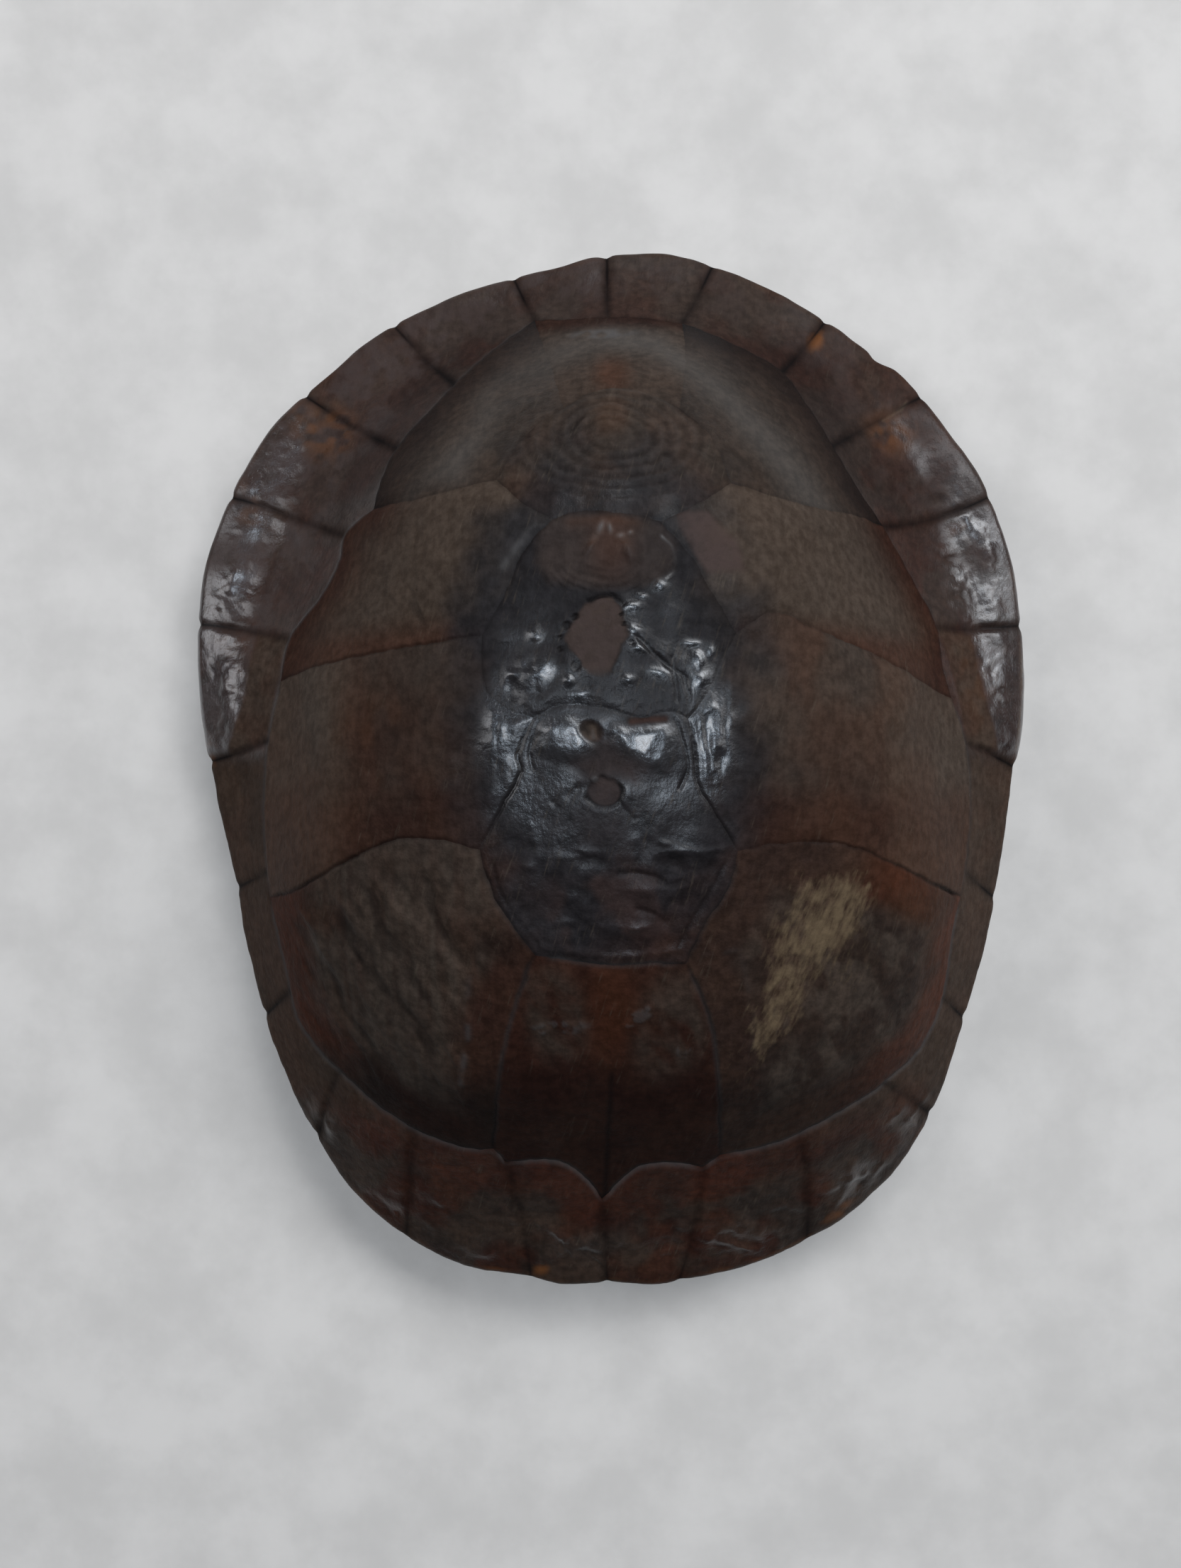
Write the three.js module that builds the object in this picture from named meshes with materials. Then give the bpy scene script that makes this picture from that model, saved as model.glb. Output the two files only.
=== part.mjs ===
// Carapace of a river turtle: the domed upper shell, bone and horn grown as one piece.
// Millimetres. +Z is up, +Y points to the tail, -Y to the head, +X to the right side as seen from above
// with the tail away. The origin is the middle of the footprint, on the surface that the shell rests on.
import * as THREE from 'three';

// Outline of the rim seen from above, from the tail notch round by the right side.
// The two sides differ a little, as they grew.
const rimOutline = [
  [0, 109.9], [20, 108.3], [36, 102], [52, 91.8], [66.5, 80.5], [77.5, 65], [85.5, 46], [89, 25],
  [88, 2], [83.5, -25], [77.5, -50], [69.5, -72], [58, -89.5], [41.5, -101.5], [20, -108.8],
  [0, -110], [-20, -108.8], [-42, -101.7], [-57.5, -88.5], [-70, -66], [-78, -40], [-83.5, -15],
  [-88, 10], [-89, 30], [-84.5, 52.5], [-73, 73], [-55, 89.7], [-36, 100.5], [-17, 106.5],
];

// The dome is described along rays that run from the crown out to the rim.
const crown = { x: -1, y: 6 };
const rayStep = 30; // degrees between rays, counted from the tail; both sides use the same rays
const ringShare = [0, 0.2, 0.4, 0.6, 0.75, 0.88, 1]; // how far along a ray each height is given
const rayHeights = [
  [66, 65.3, 61.5, 49.0, 30.0, 16.0, 11.5], // tail: steep, then a flat flared edge
  [66, 65.0, 60.5, 46.0, 27.0, 14.0, 9.6],
  [66, 64.4, 58.0, 39.5, 19.5, 11.5, 9.0], // hind corner, the widest flare
  [66, 64.8, 60.0, 48.5, 30.0, 17.5, 9.8], // flank
  [66, 64.6, 60.8, 53.0, 41.5, 25.5, 11.5], // bridge, steep right down to the edge
  [66, 64.0, 58.6, 48.5, 36.0, 24.5, 14.0],
  [66, 63.8, 57.0, 45.5, 32.0, 22.5, 17.0], // head end, held up off the surface
];

// Wall of the shell, square to its surface.
const domeWall = 4.8;
const rimWall = 2.6;
const rimTaper = 12; // how far in from the edge the wall reaches its full thickness
const noseInset = 0.4; // the rounded nose of the rim, between its top and its underside
const noseDrop = 1.5;
const underInset = 2.2; // where the underside of the rim begins, in from the edge

// Bridge: along each flank the shell turns down and in, to the sawn edge where the lower shell was cut off.
const bridgeFrom = 94; // degrees from the tail where the sawn edge begins
const bridgeTo = 124;
const bridgeFade = 20; // degrees over which it dies away into the underside of the rim
const sawnOuter = 7.5; // in from the rim
const sawnInner = 12.5;
const hollowFrom = 15; // in from the rim, where the inside of the dome begins

// Fineness of the faceted surface.
const raysRound = 96;
const outerRings = 17;
const innerRings = 12;
const outlineSteps = 24;
const ringCrowding = 0.85; // below 1 the rings of facets lie closer together towards the rim
const slopeStep = 0.5; // distance to each side over which the slope of the outside is measured

const smooth = (share) => share * share * (3 - 2 * share);
const clamp01 = (value) => Math.min(1, Math.max(0, value));

// Radius of the rim from the crown in a direction, with the angle in degrees from the tail towards +X.
const outlineCurve = new THREE.CatmullRomCurve3(
  rimOutline.map(([x, y]) => new THREE.Vector3(x, y, 0)), true, 'catmullrom', 0.5);
const outlineSamples = outlineCurve.getPoints(rimOutline.length * outlineSteps).map((point) => {
  const dx = point.x - crown.x;
  const dy = point.y - crown.y;
  const degrees = (THREE.MathUtils.radToDeg(Math.atan2(dx, dy)) + 360) % 360;
  return { degrees, radius: Math.hypot(dx, dy) };
}).sort((one, other) => one.degrees - other.degrees);

function rimRadius(degrees) {
  const count = outlineSamples.length;
  const found = outlineSamples.findIndex((sample) => sample.degrees >= degrees);
  const after = found < 0 ? 0 : found;
  const before = (after + count - 1) % count;
  const low = outlineSamples[before];
  const high = outlineSamples[after];
  const span = (high.degrees - low.degrees + 360) % 360;
  const share = span === 0 ? 0 : ((degrees - low.degrees + 360) % 360) / span;
  return THREE.MathUtils.lerp(low.radius, high.radius, share);
}

// Smooth curve through values at given places: cubic pieces whose slopes come from the neighbours.
function throughValues(places, values, at, startSlope, endSlope) {
  const last = places.length - 1;
  let piece = 0;
  while (piece < last - 1 && at > places[piece + 1]) piece += 1;
  const slopeAt = (index) => {
    if (index === 0 && startSlope !== null) return startSlope;
    if (index === last && endSlope !== null) return endSlope;
    const low = Math.max(0, index - 1);
    const high = Math.min(last, index + 1);
    return (values[high] - values[low]) / (places[high] - places[low]);
  };
  const width = places[piece + 1] - places[piece];
  const u = (at - places[piece]) / width;
  const rise = values[piece + 1] - values[piece];
  const leave = slopeAt(piece) * width;
  const arrive = slopeAt(piece + 1) * width;
  return values[piece] + leave * u + (3 * rise - 2 * leave - arrive) * u * u
    + (leave + arrive - 2 * rise) * u * u * u;
}

// Heights of the rings along the ray in one direction.
function heightsAlong(degrees) {
  const fromTail = degrees > 180 ? 360 - degrees : degrees;
  const rayPlaces = rayHeights.map((row, index) => index * rayStep);
  return ringShare.map((share, ring) =>
    throughValues(rayPlaces, rayHeights.map((row) => row[ring]), fromTail, 0, 0));
}

// 1 over the bridge, 0 away from it.
function bridgeShare(degrees) {
  const fromTail = degrees > 180 ? 360 - degrees : degrees;
  const rising = clamp01((fromTail - bridgeFrom + bridgeFade) / bridgeFade);
  const falling = clamp01((bridgeTo + bridgeFade - fromTail) / bridgeFade);
  return smooth(Math.min(rising, falling));
}

// Section of the wall along one ray, as [distance from the crown, height] from the crown's outside,
// over the rim, along the underside and back up the inside to the crown.
function wallSection(degrees) {
  const reach = rimRadius(degrees);
  const heights = heightsAlong(degrees);
  const outside = (distance) => throughValues(ringShare, heights, distance / reach, 0, null);
  const inside = (distance) => {
    const nearer = Math.max(0, distance - slopeStep);
    const further = Math.min(reach, distance + slopeStep);
    const slope = (outside(further) - outside(nearer)) / (further - nearer);
    const wall = THREE.MathUtils.lerp(rimWall, domeWall, smooth(clamp01((reach - distance) / rimTaper)));
    const long = Math.hypot(1, slope);
    return [distance + (slope / long) * wall, outside(distance) - wall / long];
  };
  const section = [];
  for (let ring = 1; ring <= outerRings; ring += 1) {
    const distance = reach * Math.pow(ring / outerRings, ringCrowding);
    section.push([distance, outside(distance)]);
  }
  const rimHeight = outside(reach);
  section.push([reach - noseInset, rimHeight - noseDrop]);
  section.push([reach - underInset, rimHeight - rimWall]);
  const bridge = bridgeShare(degrees);
  for (const inset of [sawnOuter, sawnInner]) {
    const [distance, height] = inside(reach - inset);
    section.push([
      THREE.MathUtils.lerp(distance, reach - inset, bridge),
      THREE.MathUtils.lerp(height, 0, bridge),
    ]);
  }
  const innerReach = reach - hollowFrom;
  for (let ring = innerRings; ring >= 1; ring -= 1) {
    section.push(inside(innerReach * (ring / innerRings)));
  }
  return section;
}

// The closed wall: the sections of all rays side by side, with one point on the crown inside and outside.
function carapaceGeometry() {
  const positions = [crown.x, crown.y, rayHeights[0][0]];
  const sections = [];
  for (let ray = 0; ray < raysRound; ray += 1) {
    const degrees = (ray * 360) / raysRound;
    const direction = THREE.MathUtils.degToRad(degrees);
    const section = wallSection(degrees);
    sections.push(section);
    for (const [distance, height] of section) {
      positions.push(crown.x + distance * Math.sin(direction), crown.y + distance * Math.cos(direction), height);
    }
  }
  const perRay = sections[0].length;
  const innerCrown = positions.length / 3;
  positions.push(crown.x, crown.y, rayHeights[0][0] - domeWall);
  const at = (ray, ring) => 1 + (ray % raysRound) * perRay + ring;
  const faces = [];
  for (let ray = 0; ray < raysRound; ray += 1) {
    faces.push(0, at(ray + 1, 0), at(ray, 0));
    for (let ring = 0; ring < perRay - 1; ring += 1) {
      faces.push(at(ray, ring), at(ray + 1, ring), at(ray, ring + 1));
      faces.push(at(ray + 1, ring), at(ray + 1, ring + 1), at(ray, ring + 1));
    }
    faces.push(innerCrown, at(ray, perRay - 1), at(ray + 1, perRay - 1));
  }
  const geometry = new THREE.BufferGeometry();
  geometry.setAttribute('position', new THREE.Float32BufferAttribute(positions, 3));
  geometry.setIndex(faces);
  geometry.computeVertexNormals();
  return geometry;
}

// Old, dark, varnished horn.
const hornMaterial = new THREE.MeshStandardMaterial({ color: 0x2b2019, roughness: 0.38, metalness: 0 });

const carapace = new THREE.Mesh(carapaceGeometry(), hornMaterial);
carapace.name = 'carapace';

const shell = new THREE.Group();
shell.add(carapace);

export default shell;
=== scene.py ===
import math
import bpy
import numpy as np
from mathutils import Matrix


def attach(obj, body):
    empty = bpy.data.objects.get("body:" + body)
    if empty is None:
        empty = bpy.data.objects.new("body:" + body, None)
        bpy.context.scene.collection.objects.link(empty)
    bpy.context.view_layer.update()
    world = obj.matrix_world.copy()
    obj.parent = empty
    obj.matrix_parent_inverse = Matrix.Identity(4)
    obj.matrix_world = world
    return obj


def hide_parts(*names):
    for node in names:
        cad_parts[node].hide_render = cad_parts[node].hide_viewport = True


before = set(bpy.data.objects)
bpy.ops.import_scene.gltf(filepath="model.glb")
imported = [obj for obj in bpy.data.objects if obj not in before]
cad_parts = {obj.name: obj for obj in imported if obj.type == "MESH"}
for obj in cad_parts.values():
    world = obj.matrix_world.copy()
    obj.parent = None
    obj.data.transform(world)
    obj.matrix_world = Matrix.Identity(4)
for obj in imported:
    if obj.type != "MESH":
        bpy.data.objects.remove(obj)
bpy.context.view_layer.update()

# THE BONE. The upper shell is one dome of ribs and plates that grew together, open underneath, bare and
# dry inside. Along each flank it turns down to a flat edge, where the lower shell was sawn off.
# Lengths are in millimetres and each mesh is made in metres at the end.
MM = 0.001
RIM_OUTLINE = np.array([
    (0, 109.9), (20, 108.3), (36, 102), (52, 91.8), (66.5, 80.5), (77.5, 65), (85.5, 46), (89, 25),
    (88, 2), (83.5, -25), (77.5, -50), (69.5, -72), (58, -89.5), (41.5, -101.5), (20, -108.8),
    (0, -110), (-20, -108.8), (-42, -101.7), (-57.5, -88.5), (-70, -66), (-78, -40), (-83.5, -15),
    (-88, 10), (-89, 30), (-84.5, 52.5), (-73, 73), (-55, 89.7), (-36, 100.5), (-17, 106.5)], float)
CROWN = np.array([-1.0, 6.0])
RAY_ANGLES = np.arange(7) * 30.0            # from the tail, the same on both sides
RING_SHARES = np.array([0, 0.2, 0.4, 0.6, 0.75, 0.88, 1])
RAY_HEIGHTS = np.array([
    (66, 65.3, 61.5, 49.0, 30.0, 16.0, 11.5),     # tail
    (66, 65.0, 60.5, 46.0, 27.0, 14.0, 9.6),
    (66, 64.4, 58.0, 39.5, 19.5, 11.5, 9.0),      # hind corner
    (66, 64.8, 60.0, 48.5, 30.0, 17.5, 9.8),
    (66, 64.6, 60.8, 53.0, 41.5, 25.5, 11.5),     # bridge
    (66, 64.0, 58.6, 48.5, 36.0, 24.5, 14.0),
    (66, 63.8, 57.0, 45.5, 32.0, 22.5, 17.0)])    # head
OUTLINE_STEPS = 24                          # samples between two points of the outline
PAST_RIM = 1.03                             # how far the dome's surface is carried on, rim = 1
DOME_WALL = 4.8
RIM_WALL = 2.6
RIM_TAPER = 12.0                            # how far in from the rim the wall reaches its full thickness
BRIDGE_FROM = 94.0                          # degrees from the tail
BRIDGE_TO = 124.0
BRIDGE_FADE = 20.0
SAWN_OUTER = 7.5                            # in from the rim
SAWN_INNER = 12.5
INSIDE_RAYS = 640
SAWN_ROWS = 9
HOLLOW_ROWS = 110
TUCK = 0.6                                  # how far the inside reaches under the horn
VERTEBRA_LENGTH = 19.5
LAYOUT_WIDTH = 240.0                        # of the flat layout for the texture bake


def smooth(share):
    """0 to 1 along an S curve that is level at both ends, and flat outside them."""
    share = np.clip(share, 0, 1)
    return share * share * (3 - 2 * share)


def through_values(places, values, at, level_start=True, level_end=True):
    """Smooth curve through rows of values at given places, by cubic pieces. A piece's end slopes are those
    between the places before and after; a level end has slope zero, and a free one its own piece's."""
    slopes = np.zeros_like(values, float)
    slopes[1:-1] = (values[2:] - values[:-2]) / (places[2:] - places[:-2])[:, None]
    if not level_start:
        slopes[0] = (values[1] - values[0]) / (places[1] - places[0])
    if not level_end:
        slopes[-1] = (values[-1] - values[-2]) / (places[-1] - places[-2])
    piece = np.clip(np.searchsorted(places, at, side="right") - 1, 0, len(places) - 2)
    width = (places[piece + 1] - places[piece])[:, None]
    u = (at - places[piece])[:, None] / width
    rise = values[piece + 1] - values[piece]
    leave = slopes[piece] * width
    arrive = slopes[piece + 1] * width
    return (values[piece] + leave * u + (3 * rise - 2 * leave - arrive) * u ** 2
            + (leave + arrive - 2 * rise) * u ** 3)


def closed_curve(points, steps):
    """Smooth closed line through points: on each span the cubic whose slope at a point is half the step
    between that point's neighbours."""
    before, here, after, beyond = (np.roll(points, shift, axis=0)[:, None] for shift in (1, 0, -1, -2))
    u = (np.arange(steps) / steps)[None, :, None]
    line = (here + (after - before) * u / 2 + (before - 2.5 * here + 2 * after - beyond / 2) * u ** 2
            + (1.5 * (here - after) + (beyond - before) / 2) * u ** 3)
    return line.reshape(-1, points.shape[1])


rim_line = closed_curve(RIM_OUTLINE, OUTLINE_STEPS) - CROWN
rim_angles = np.degrees(np.arctan2(rim_line[:, 0], rim_line[:, 1])) % 360
rim_reaches = np.hypot(rim_line[:, 0], rim_line[:, 1])[np.argsort(rim_angles)]
rim_angles = np.sort(rim_angles)


def direction_of(x, y):
    """Angle in degrees from the tail towards +X, seen from the crown, and the distance from the crown."""
    away_x = x - CROWN[0]
    away_y = y - CROWN[1]
    return np.degrees(np.arctan2(away_x, away_y)) % 360, np.hypot(away_x, away_y)


def rim_reach(angle):
    """Distance from the crown to the rim in a direction, read off the outline."""
    return np.interp(angle, rim_angles, rim_reaches, period=360)


def dome_height(x, y):
    """Height of the outside over points of the plan: a curve out from the crown through the heights of
    the rings, which themselves follow a curve round from tail to head."""
    angle, distance = direction_of(np.ravel(x), np.ravel(y))
    heights = through_values(RAY_ANGLES, RAY_HEIGHTS, np.minimum(angle, 360 - angle))
    share = np.minimum(distance / rim_reach(angle), PAST_RIM)
    weights = through_values(RING_SHARES, np.eye(len(RING_SHARES)), share, level_end=False)
    return (weights * heights).sum(axis=1).reshape(np.shape(x))


def dome_normal(x, y):
    """Direction square to the outside: the slopes over a short step each way, turned upright."""
    step = 0.6
    east = (dome_height(x + step, y) - dome_height(x - step, y)) / (2 * step)
    north = (dome_height(x, y + step) - dome_height(x, y - step)) / (2 * step)
    long = np.sqrt(1 + east ** 2 + north ** 2)
    return np.stack([-east / long, -north / long, 1 / long], axis=-1)


def bumps(x, y, size, seed):
    """Random relief from -1 to 1 with humps about size wide: random values on a square lattice, blended
    by curves that are level at each lattice point."""
    count = 128
    lattice = np.random.default_rng(seed).uniform(-1, 1, (count, count))
    turn = 0.7 * seed
    along = (x * math.cos(turn) + y * math.sin(turn)) / size
    across = (y * math.cos(turn) - x * math.sin(turn)) / size
    column = np.floor(along).astype(int)
    row = np.floor(across).astype(int)
    u = along - column
    v = across - row
    u = u ** 3 * (u * (u * 6 - 15) + 10)
    v = v ** 3 * (v * (v * 6 - 15) + 10)
    near = lattice[column % count, row % count] * (1 - u) + lattice[(column + 1) % count, row % count] * u
    far = (lattice[column % count, (row + 1) % count] * (1 - u)
           + lattice[(column + 1) % count, (row + 1) % count] * u)
    return near * (1 - v) + far * v


def rough(x, y, size, seed, layers=3):
    """Bumps with finer bumps on them, each layer half as wide and half as high as the one before."""
    return sum(bumps(x, y, size / 2 ** layer, seed + 7 * layer) / 2 ** layer for layer in range(layers))


def mesh_of(name, points, closed, pole=None, marks=None, spread=None):
    """Mesh of a grid of points, rows across and columns along, with its normals to the left of the columns.
    closed joins the last column to the first, and pole closes the first row to one point. marks are values
    for each point, kept as attributes, and spread gives the flat layout for the texture bake."""
    rows, columns = points.shape[:2]
    index = np.arange(rows * columns).reshape(rows, columns)
    behind = index if closed else index[:, :-1]
    ahead = np.roll(index, -1, axis=1) if closed else index[:, 1:]
    faces = np.stack([behind[:-1], behind[1:], ahead[1:], ahead[:-1]], axis=-1).reshape(-1, 4).tolist()
    corners = points.reshape(-1, 3)
    layout = spread.reshape(-1, 2)
    if pole is not None:
        faces += [[rows * columns, first, second] for first, second in zip(behind[0], ahead[0])]
        corners = np.vstack([corners, pole])
        layout = np.vstack([layout, layout[:columns].mean(axis=0)])
    mesh = bpy.data.meshes.new(name)
    mesh.from_pydata(corners * MM, [], faces)
    mesh.shade_smooth()
    for mark, values in (marks or {}).items():
        flat = np.ravel(values)
        if pole is not None:
            flat = np.append(flat, flat[:columns].mean())
        mesh.attributes.new(mark, "FLOAT", "POINT").data.foreach_set("value", flat.astype(np.float32))
    loops = np.empty(len(mesh.loops), np.int32)
    mesh.loops.foreach_get("vertex_index", loops)
    bake_map = mesh.uv_layers.new(name="OFBake")
    bake_map.data.foreach_set("uv", layout[loops].astype(np.float32).ravel())
    piece = bpy.data.objects.new(name, mesh)
    bpy.context.scene.collection.objects.link(piece)
    return piece


def wall_point(angle, inset):
    """A point of the inside: from the outside over it, square through the wall, which thins to the rim."""
    reach = rim_reach(angle)
    turn = np.radians(angle)
    distance = reach - inset
    step = 0.5

    def outside(away):
        away = np.clip(away, 0, reach)
        return dome_height(CROWN[0] + away * np.sin(turn), CROWN[1] + away * np.cos(turn))

    nearer = np.maximum(distance - step, 0)
    further = np.minimum(distance + step, reach)
    slope = (outside(further) - outside(nearer)) / (further - nearer)
    wall = RIM_WALL + (DOME_WALL - RIM_WALL) * smooth(inset / RIM_TAPER)
    long = np.sqrt(1 + slope ** 2)
    return distance + slope / long * wall, outside(distance) - wall / long


def bridge_share(angle):
    """1 along the sawn edges at the flanks, and 0 away from them."""
    from_tail = np.minimum(angle, 360 - angle)
    rising = (from_tail - BRIDGE_FROM + BRIDGE_FADE) / BRIDGE_FADE
    falling = (BRIDGE_TO + BRIDGE_FADE - from_tail) / BRIDGE_FADE
    return smooth(np.minimum(rising, falling))


def sawn_point(angle, inset):
    """A point of the underside near the rim: on the inside of the wall, or on the surface that the shell
    stands on where the bridge was sawn through."""
    distance, height = wall_point(angle, inset)
    bridge = bridge_share(angle)
    straight = rim_reach(angle) - inset
    return distance + (straight - distance) * bridge, height * (1 - bridge)


def inside_of_the_dome():
    """Rows run in from under the horn, over the sawn edge and up the inside to the crown. On it stand the
    backbone, a rounded ridge along the middle with a swelling at each vertebra, and the heads of the ribs,
    with shallow furrows where the plates of bone meet."""
    angle = np.arange(INSIDE_RAYS) * 360.0 / INSIDE_RAYS
    turn = np.radians(angle)
    tucked, tucked_height = sawn_point(angle, np.full_like(angle, SAWN_OUTER - TUCK))
    rows = [(tucked, tucked_height + 0.5)]
    for inset in np.linspace(SAWN_OUTER, SAWN_INNER, SAWN_ROWS):
        rows.append(sawn_point(angle, np.full_like(angle, inset)))
    inner_reach = rim_reach(angle) - SAWN_INNER - 1.0
    for share in np.linspace(1, 0.012, HOLLOW_ROWS) ** 0.9:
        rows.append(wall_point(angle, rim_reach(angle) - inner_reach * share))
    distance = np.array([row[0] for row in rows])
    height = np.array([row[1] for row in rows])
    x = CROWN[0] + distance * np.sin(turn)
    y = CROWN[1] + distance * np.cos(turn)
    depth = np.clip((np.arange(len(rows)) - 12) / 14, 0, 1)[:, None] * np.ones_like(x)
    along = (y + 84) / VERTEBRA_LENGTH
    vertebra = 0.5 + 0.5 * np.cos(2 * np.pi * along)
    spine_ends = smooth((y + 82) / 14) * smooth((92 - y) / 22)
    off = np.abs(x + 1.2)
    ridge = np.exp(-(off / (3.2 + 1.3 * vertebra)) ** 2) * (3.4 + 1.6 * vertebra)
    rib_line = np.abs((along - np.round(along)) * VERTEBRA_LENGTH - 0.10 * off)
    rib = np.exp(-(rib_line / 2.0) ** 2) * (1.6 * np.exp(-(off / 15) ** 2) + 0.35)
    half_way = (along - np.floor(along) - 0.5) * VERTEBRA_LENGTH
    between = np.abs(half_way + 0.12 * off + 0.5 * bumps(x, y, 1.3, 5))
    mid_side = np.abs(np.hypot(x / 66, (y - 2) / 86) - 1) * 70 + 0.6 * bumps(x, y, 1.5, 6)
    suture = 0.35 * np.exp(-(between / 0.45) ** 2) + 0.35 * np.exp(-(mid_side / 0.5) ** 2)
    skin = 0.16 * rough(x, y, 7, 9) + 0.05 * bumps(x, y, 1.1, 3)
    drop = spine_ends * (ridge + rib) - suture * smooth(off / 5) + skin
    height = height - depth * drop
    height = height + 0.12 * (1 - depth) * rough(x, y, 2.2, 4) * (height > 0.4)
    points = np.stack([x, y, height], axis=-1)[:, ::-1]
    pole = np.array([CROWN[0], CROWN[1], height[-1].mean()])
    sutures = depth * (np.exp(-(between / 0.6) ** 2) + np.exp(-(mid_side / 0.6) ** 2))
    spongy = (1 - smooth((np.arange(len(rows)) - SAWN_ROWS) / 2.0))[:, None] * np.ones_like(x)
    marks = {"suture": sutures[::-1, ::-1], "spongy": spongy[::-1]}
    flat = np.stack([x, y], axis=-1)[:, ::-1] / LAYOUT_WIDTH + 0.5
    return mesh_of("bone_inside", points[::-1], True, pole, marks, flat[::-1])


def node(tree, kind, inputs=None, **settings):
    """One shader node. settings are its own fields; inputs gives, for a socket, a value or another
    node's output."""
    made = tree.nodes.new(kind)
    for field, value in settings.items():
        setattr(made, field, value)
    for socket, value in (inputs or {}).items():
        if isinstance(value, bpy.types.NodeSocket):
            tree.links.new(value, made.inputs[socket])
        else:
            made.inputs[socket].default_value = value
    return made


def mark_of(tree, name):
    """The value that the mesh holds at each point under a name."""
    return node(tree, "ShaderNodeAttribute", attribute_name=name).outputs["Fac"]


def ramp(tree, value, low, high, start=0.0, end=1.0):
    """A value stretched from low..high to start..end, and held outside."""
    inputs = {"Value": value, "From Min": low, "From Max": high, "To Min": start, "To Max": end}
    return node(tree, "ShaderNodeMapRange", inputs, interpolation_type="SMOOTHSTEP").outputs["Result"]


def blended(tree, share, under, over, way="MIX"):
    """Two colours laid over each other by a share."""
    made = node(tree, "ShaderNodeMix", {0: share, 6: under, 7: over}, data_type="RGBA", blend_type=way)
    return made.outputs[2]


def grain(tree, place, scale, detail=4.0, stretch=(1, 1, 1)):
    """Noise over the piece, with scale in lumps per metre, squeezed or stretched along each axis."""
    mapped = node(tree, "ShaderNodeMapping", {"Vector": place, "Scale": stretch})
    inputs = {"Vector": mapped.outputs["Vector"], "Scale": scale, "Detail": detail, "Roughness": 0.6}
    return node(tree, "ShaderNodeTexNoise", inputs).outputs["Fac"]


def product(tree, first, second):
    """Two values multiplied."""
    return node(tree, "ShaderNodeMath", {0: first, 1: second}, operation="MULTIPLY").outputs[0]


def new_material(name):
    """An empty material, its node tree, a Principled shader and the piece's own coordinates."""
    material = bpy.data.materials.new(name)
    material.use_nodes = True
    tree = material.node_tree
    shader = tree.nodes["Principled BSDF"]
    place = node(tree, "ShaderNodeTexCoord").outputs["Object"]
    return material, tree, shader, place


def dry_bone():
    """Old bone: yellowish, browner in patches, darker in the sutures, open-pored on the sawn edge."""
    material, tree, shader, place = new_material("dry_bone")
    pale = (0.47, 0.37, 0.24, 1)
    stained = (0.25, 0.165, 0.085, 1)
    clouds = ramp(tree, grain(tree, place, 38), 0.35, 0.68)
    colour = blended(tree, clouds, pale, stained)
    specks = ramp(tree, grain(tree, place, 900, 2), 0.55, 0.75, 0, 0.45)
    colour = blended(tree, specks, colour, (0.16, 0.10, 0.05, 1))
    colour = blended(tree, product(tree, mark_of(tree, "suture"), 0.7), colour, (0.10, 0.06, 0.03, 1))
    pores = ramp(tree, grain(tree, place, 1300, 1), 0.5, 0.56)
    sponge = product(tree, mark_of(tree, "spongy"), pores)
    colour = blended(tree, sponge, colour, (0.13, 0.085, 0.05, 1))
    tree.links.new(colour, shader.inputs["Base Color"])
    shader.inputs["Roughness"].default_value = 0.72
    lumps = grain(tree, place, 700, 4)
    bump = node(tree, "ShaderNodeBump", {"Height": lumps, "Strength": 0.5, "Distance": 0.0004})
    deeper = node(tree, "ShaderNodeBump", {"Height": sponge, "Strength": 0.7, "Distance": 0.0006,
                                           "Normal": bump.outputs["Normal"]}, invert=True)
    tree.links.new(deeper.outputs["Normal"], shader.inputs["Normal"])
    return material


bone = inside_of_the_dome()
bone.data.materials.append(dry_bone())
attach(bone, "root")
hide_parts("carapace")


# THE SEAMS. The horn is a single layer of plates, the scutes, that meet in narrow furrows. Each furrow is
# one line, sampled once, and both scutes beside it use the same samples, so that they join.
JUNCTIONS = {
    "v1_tip": (-2.2, -88.2), "tail_middle": (-1.0, 91.8),
    "m1_m2_left": (-21.2, -78.8), "m1_m2_right": (17.6, -80.0),
    "v1_corner_left": (-23.4, -75.5), "v1_corner_right": (20.8, -77.0),
    "v1_v2_left": (-14.1, -34.5), "v1_v2_right": (12.2, -36.1),
    "c1_c2_left": (-23.5, -15.9), "c1_c2_right": (20.7, -16.1),
    "v2_v3_left": (-14.2, 6.6), "v2_v3_right": (12.0, 6.4),
    "c2_c3_left": (-23.1, 20.8), "c2_c3_right": (20.4, 21.2),
    "v3_v4_left": (-11.0, 40.7), "v3_v4_right": (7.5, 40.2),
    "c3_c4_left": (-21.1, 49.0), "c3_c4_right": (20.2, 48.3),
    "v4_v5_left": (-9.4, 63.4), "v4_v5_right": (11.7, 63.3),
    "v5_corner_left": (-16.3, 93.0), "v5_corner_right": (14.4, 90.5),
    "c1_c2_flank_left": (-69.3, -27.5), "c1_c2_flank_right": (70.1, -27.3),
    "c2_c3_flank_left": (-67.3, 16.2), "c2_c3_flank_right": (69.0, 12.8),
    "c3_c4_flank_left": (-46.3, 48.2), "c3_c4_flank_right": (55.1, 47.9)}
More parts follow.
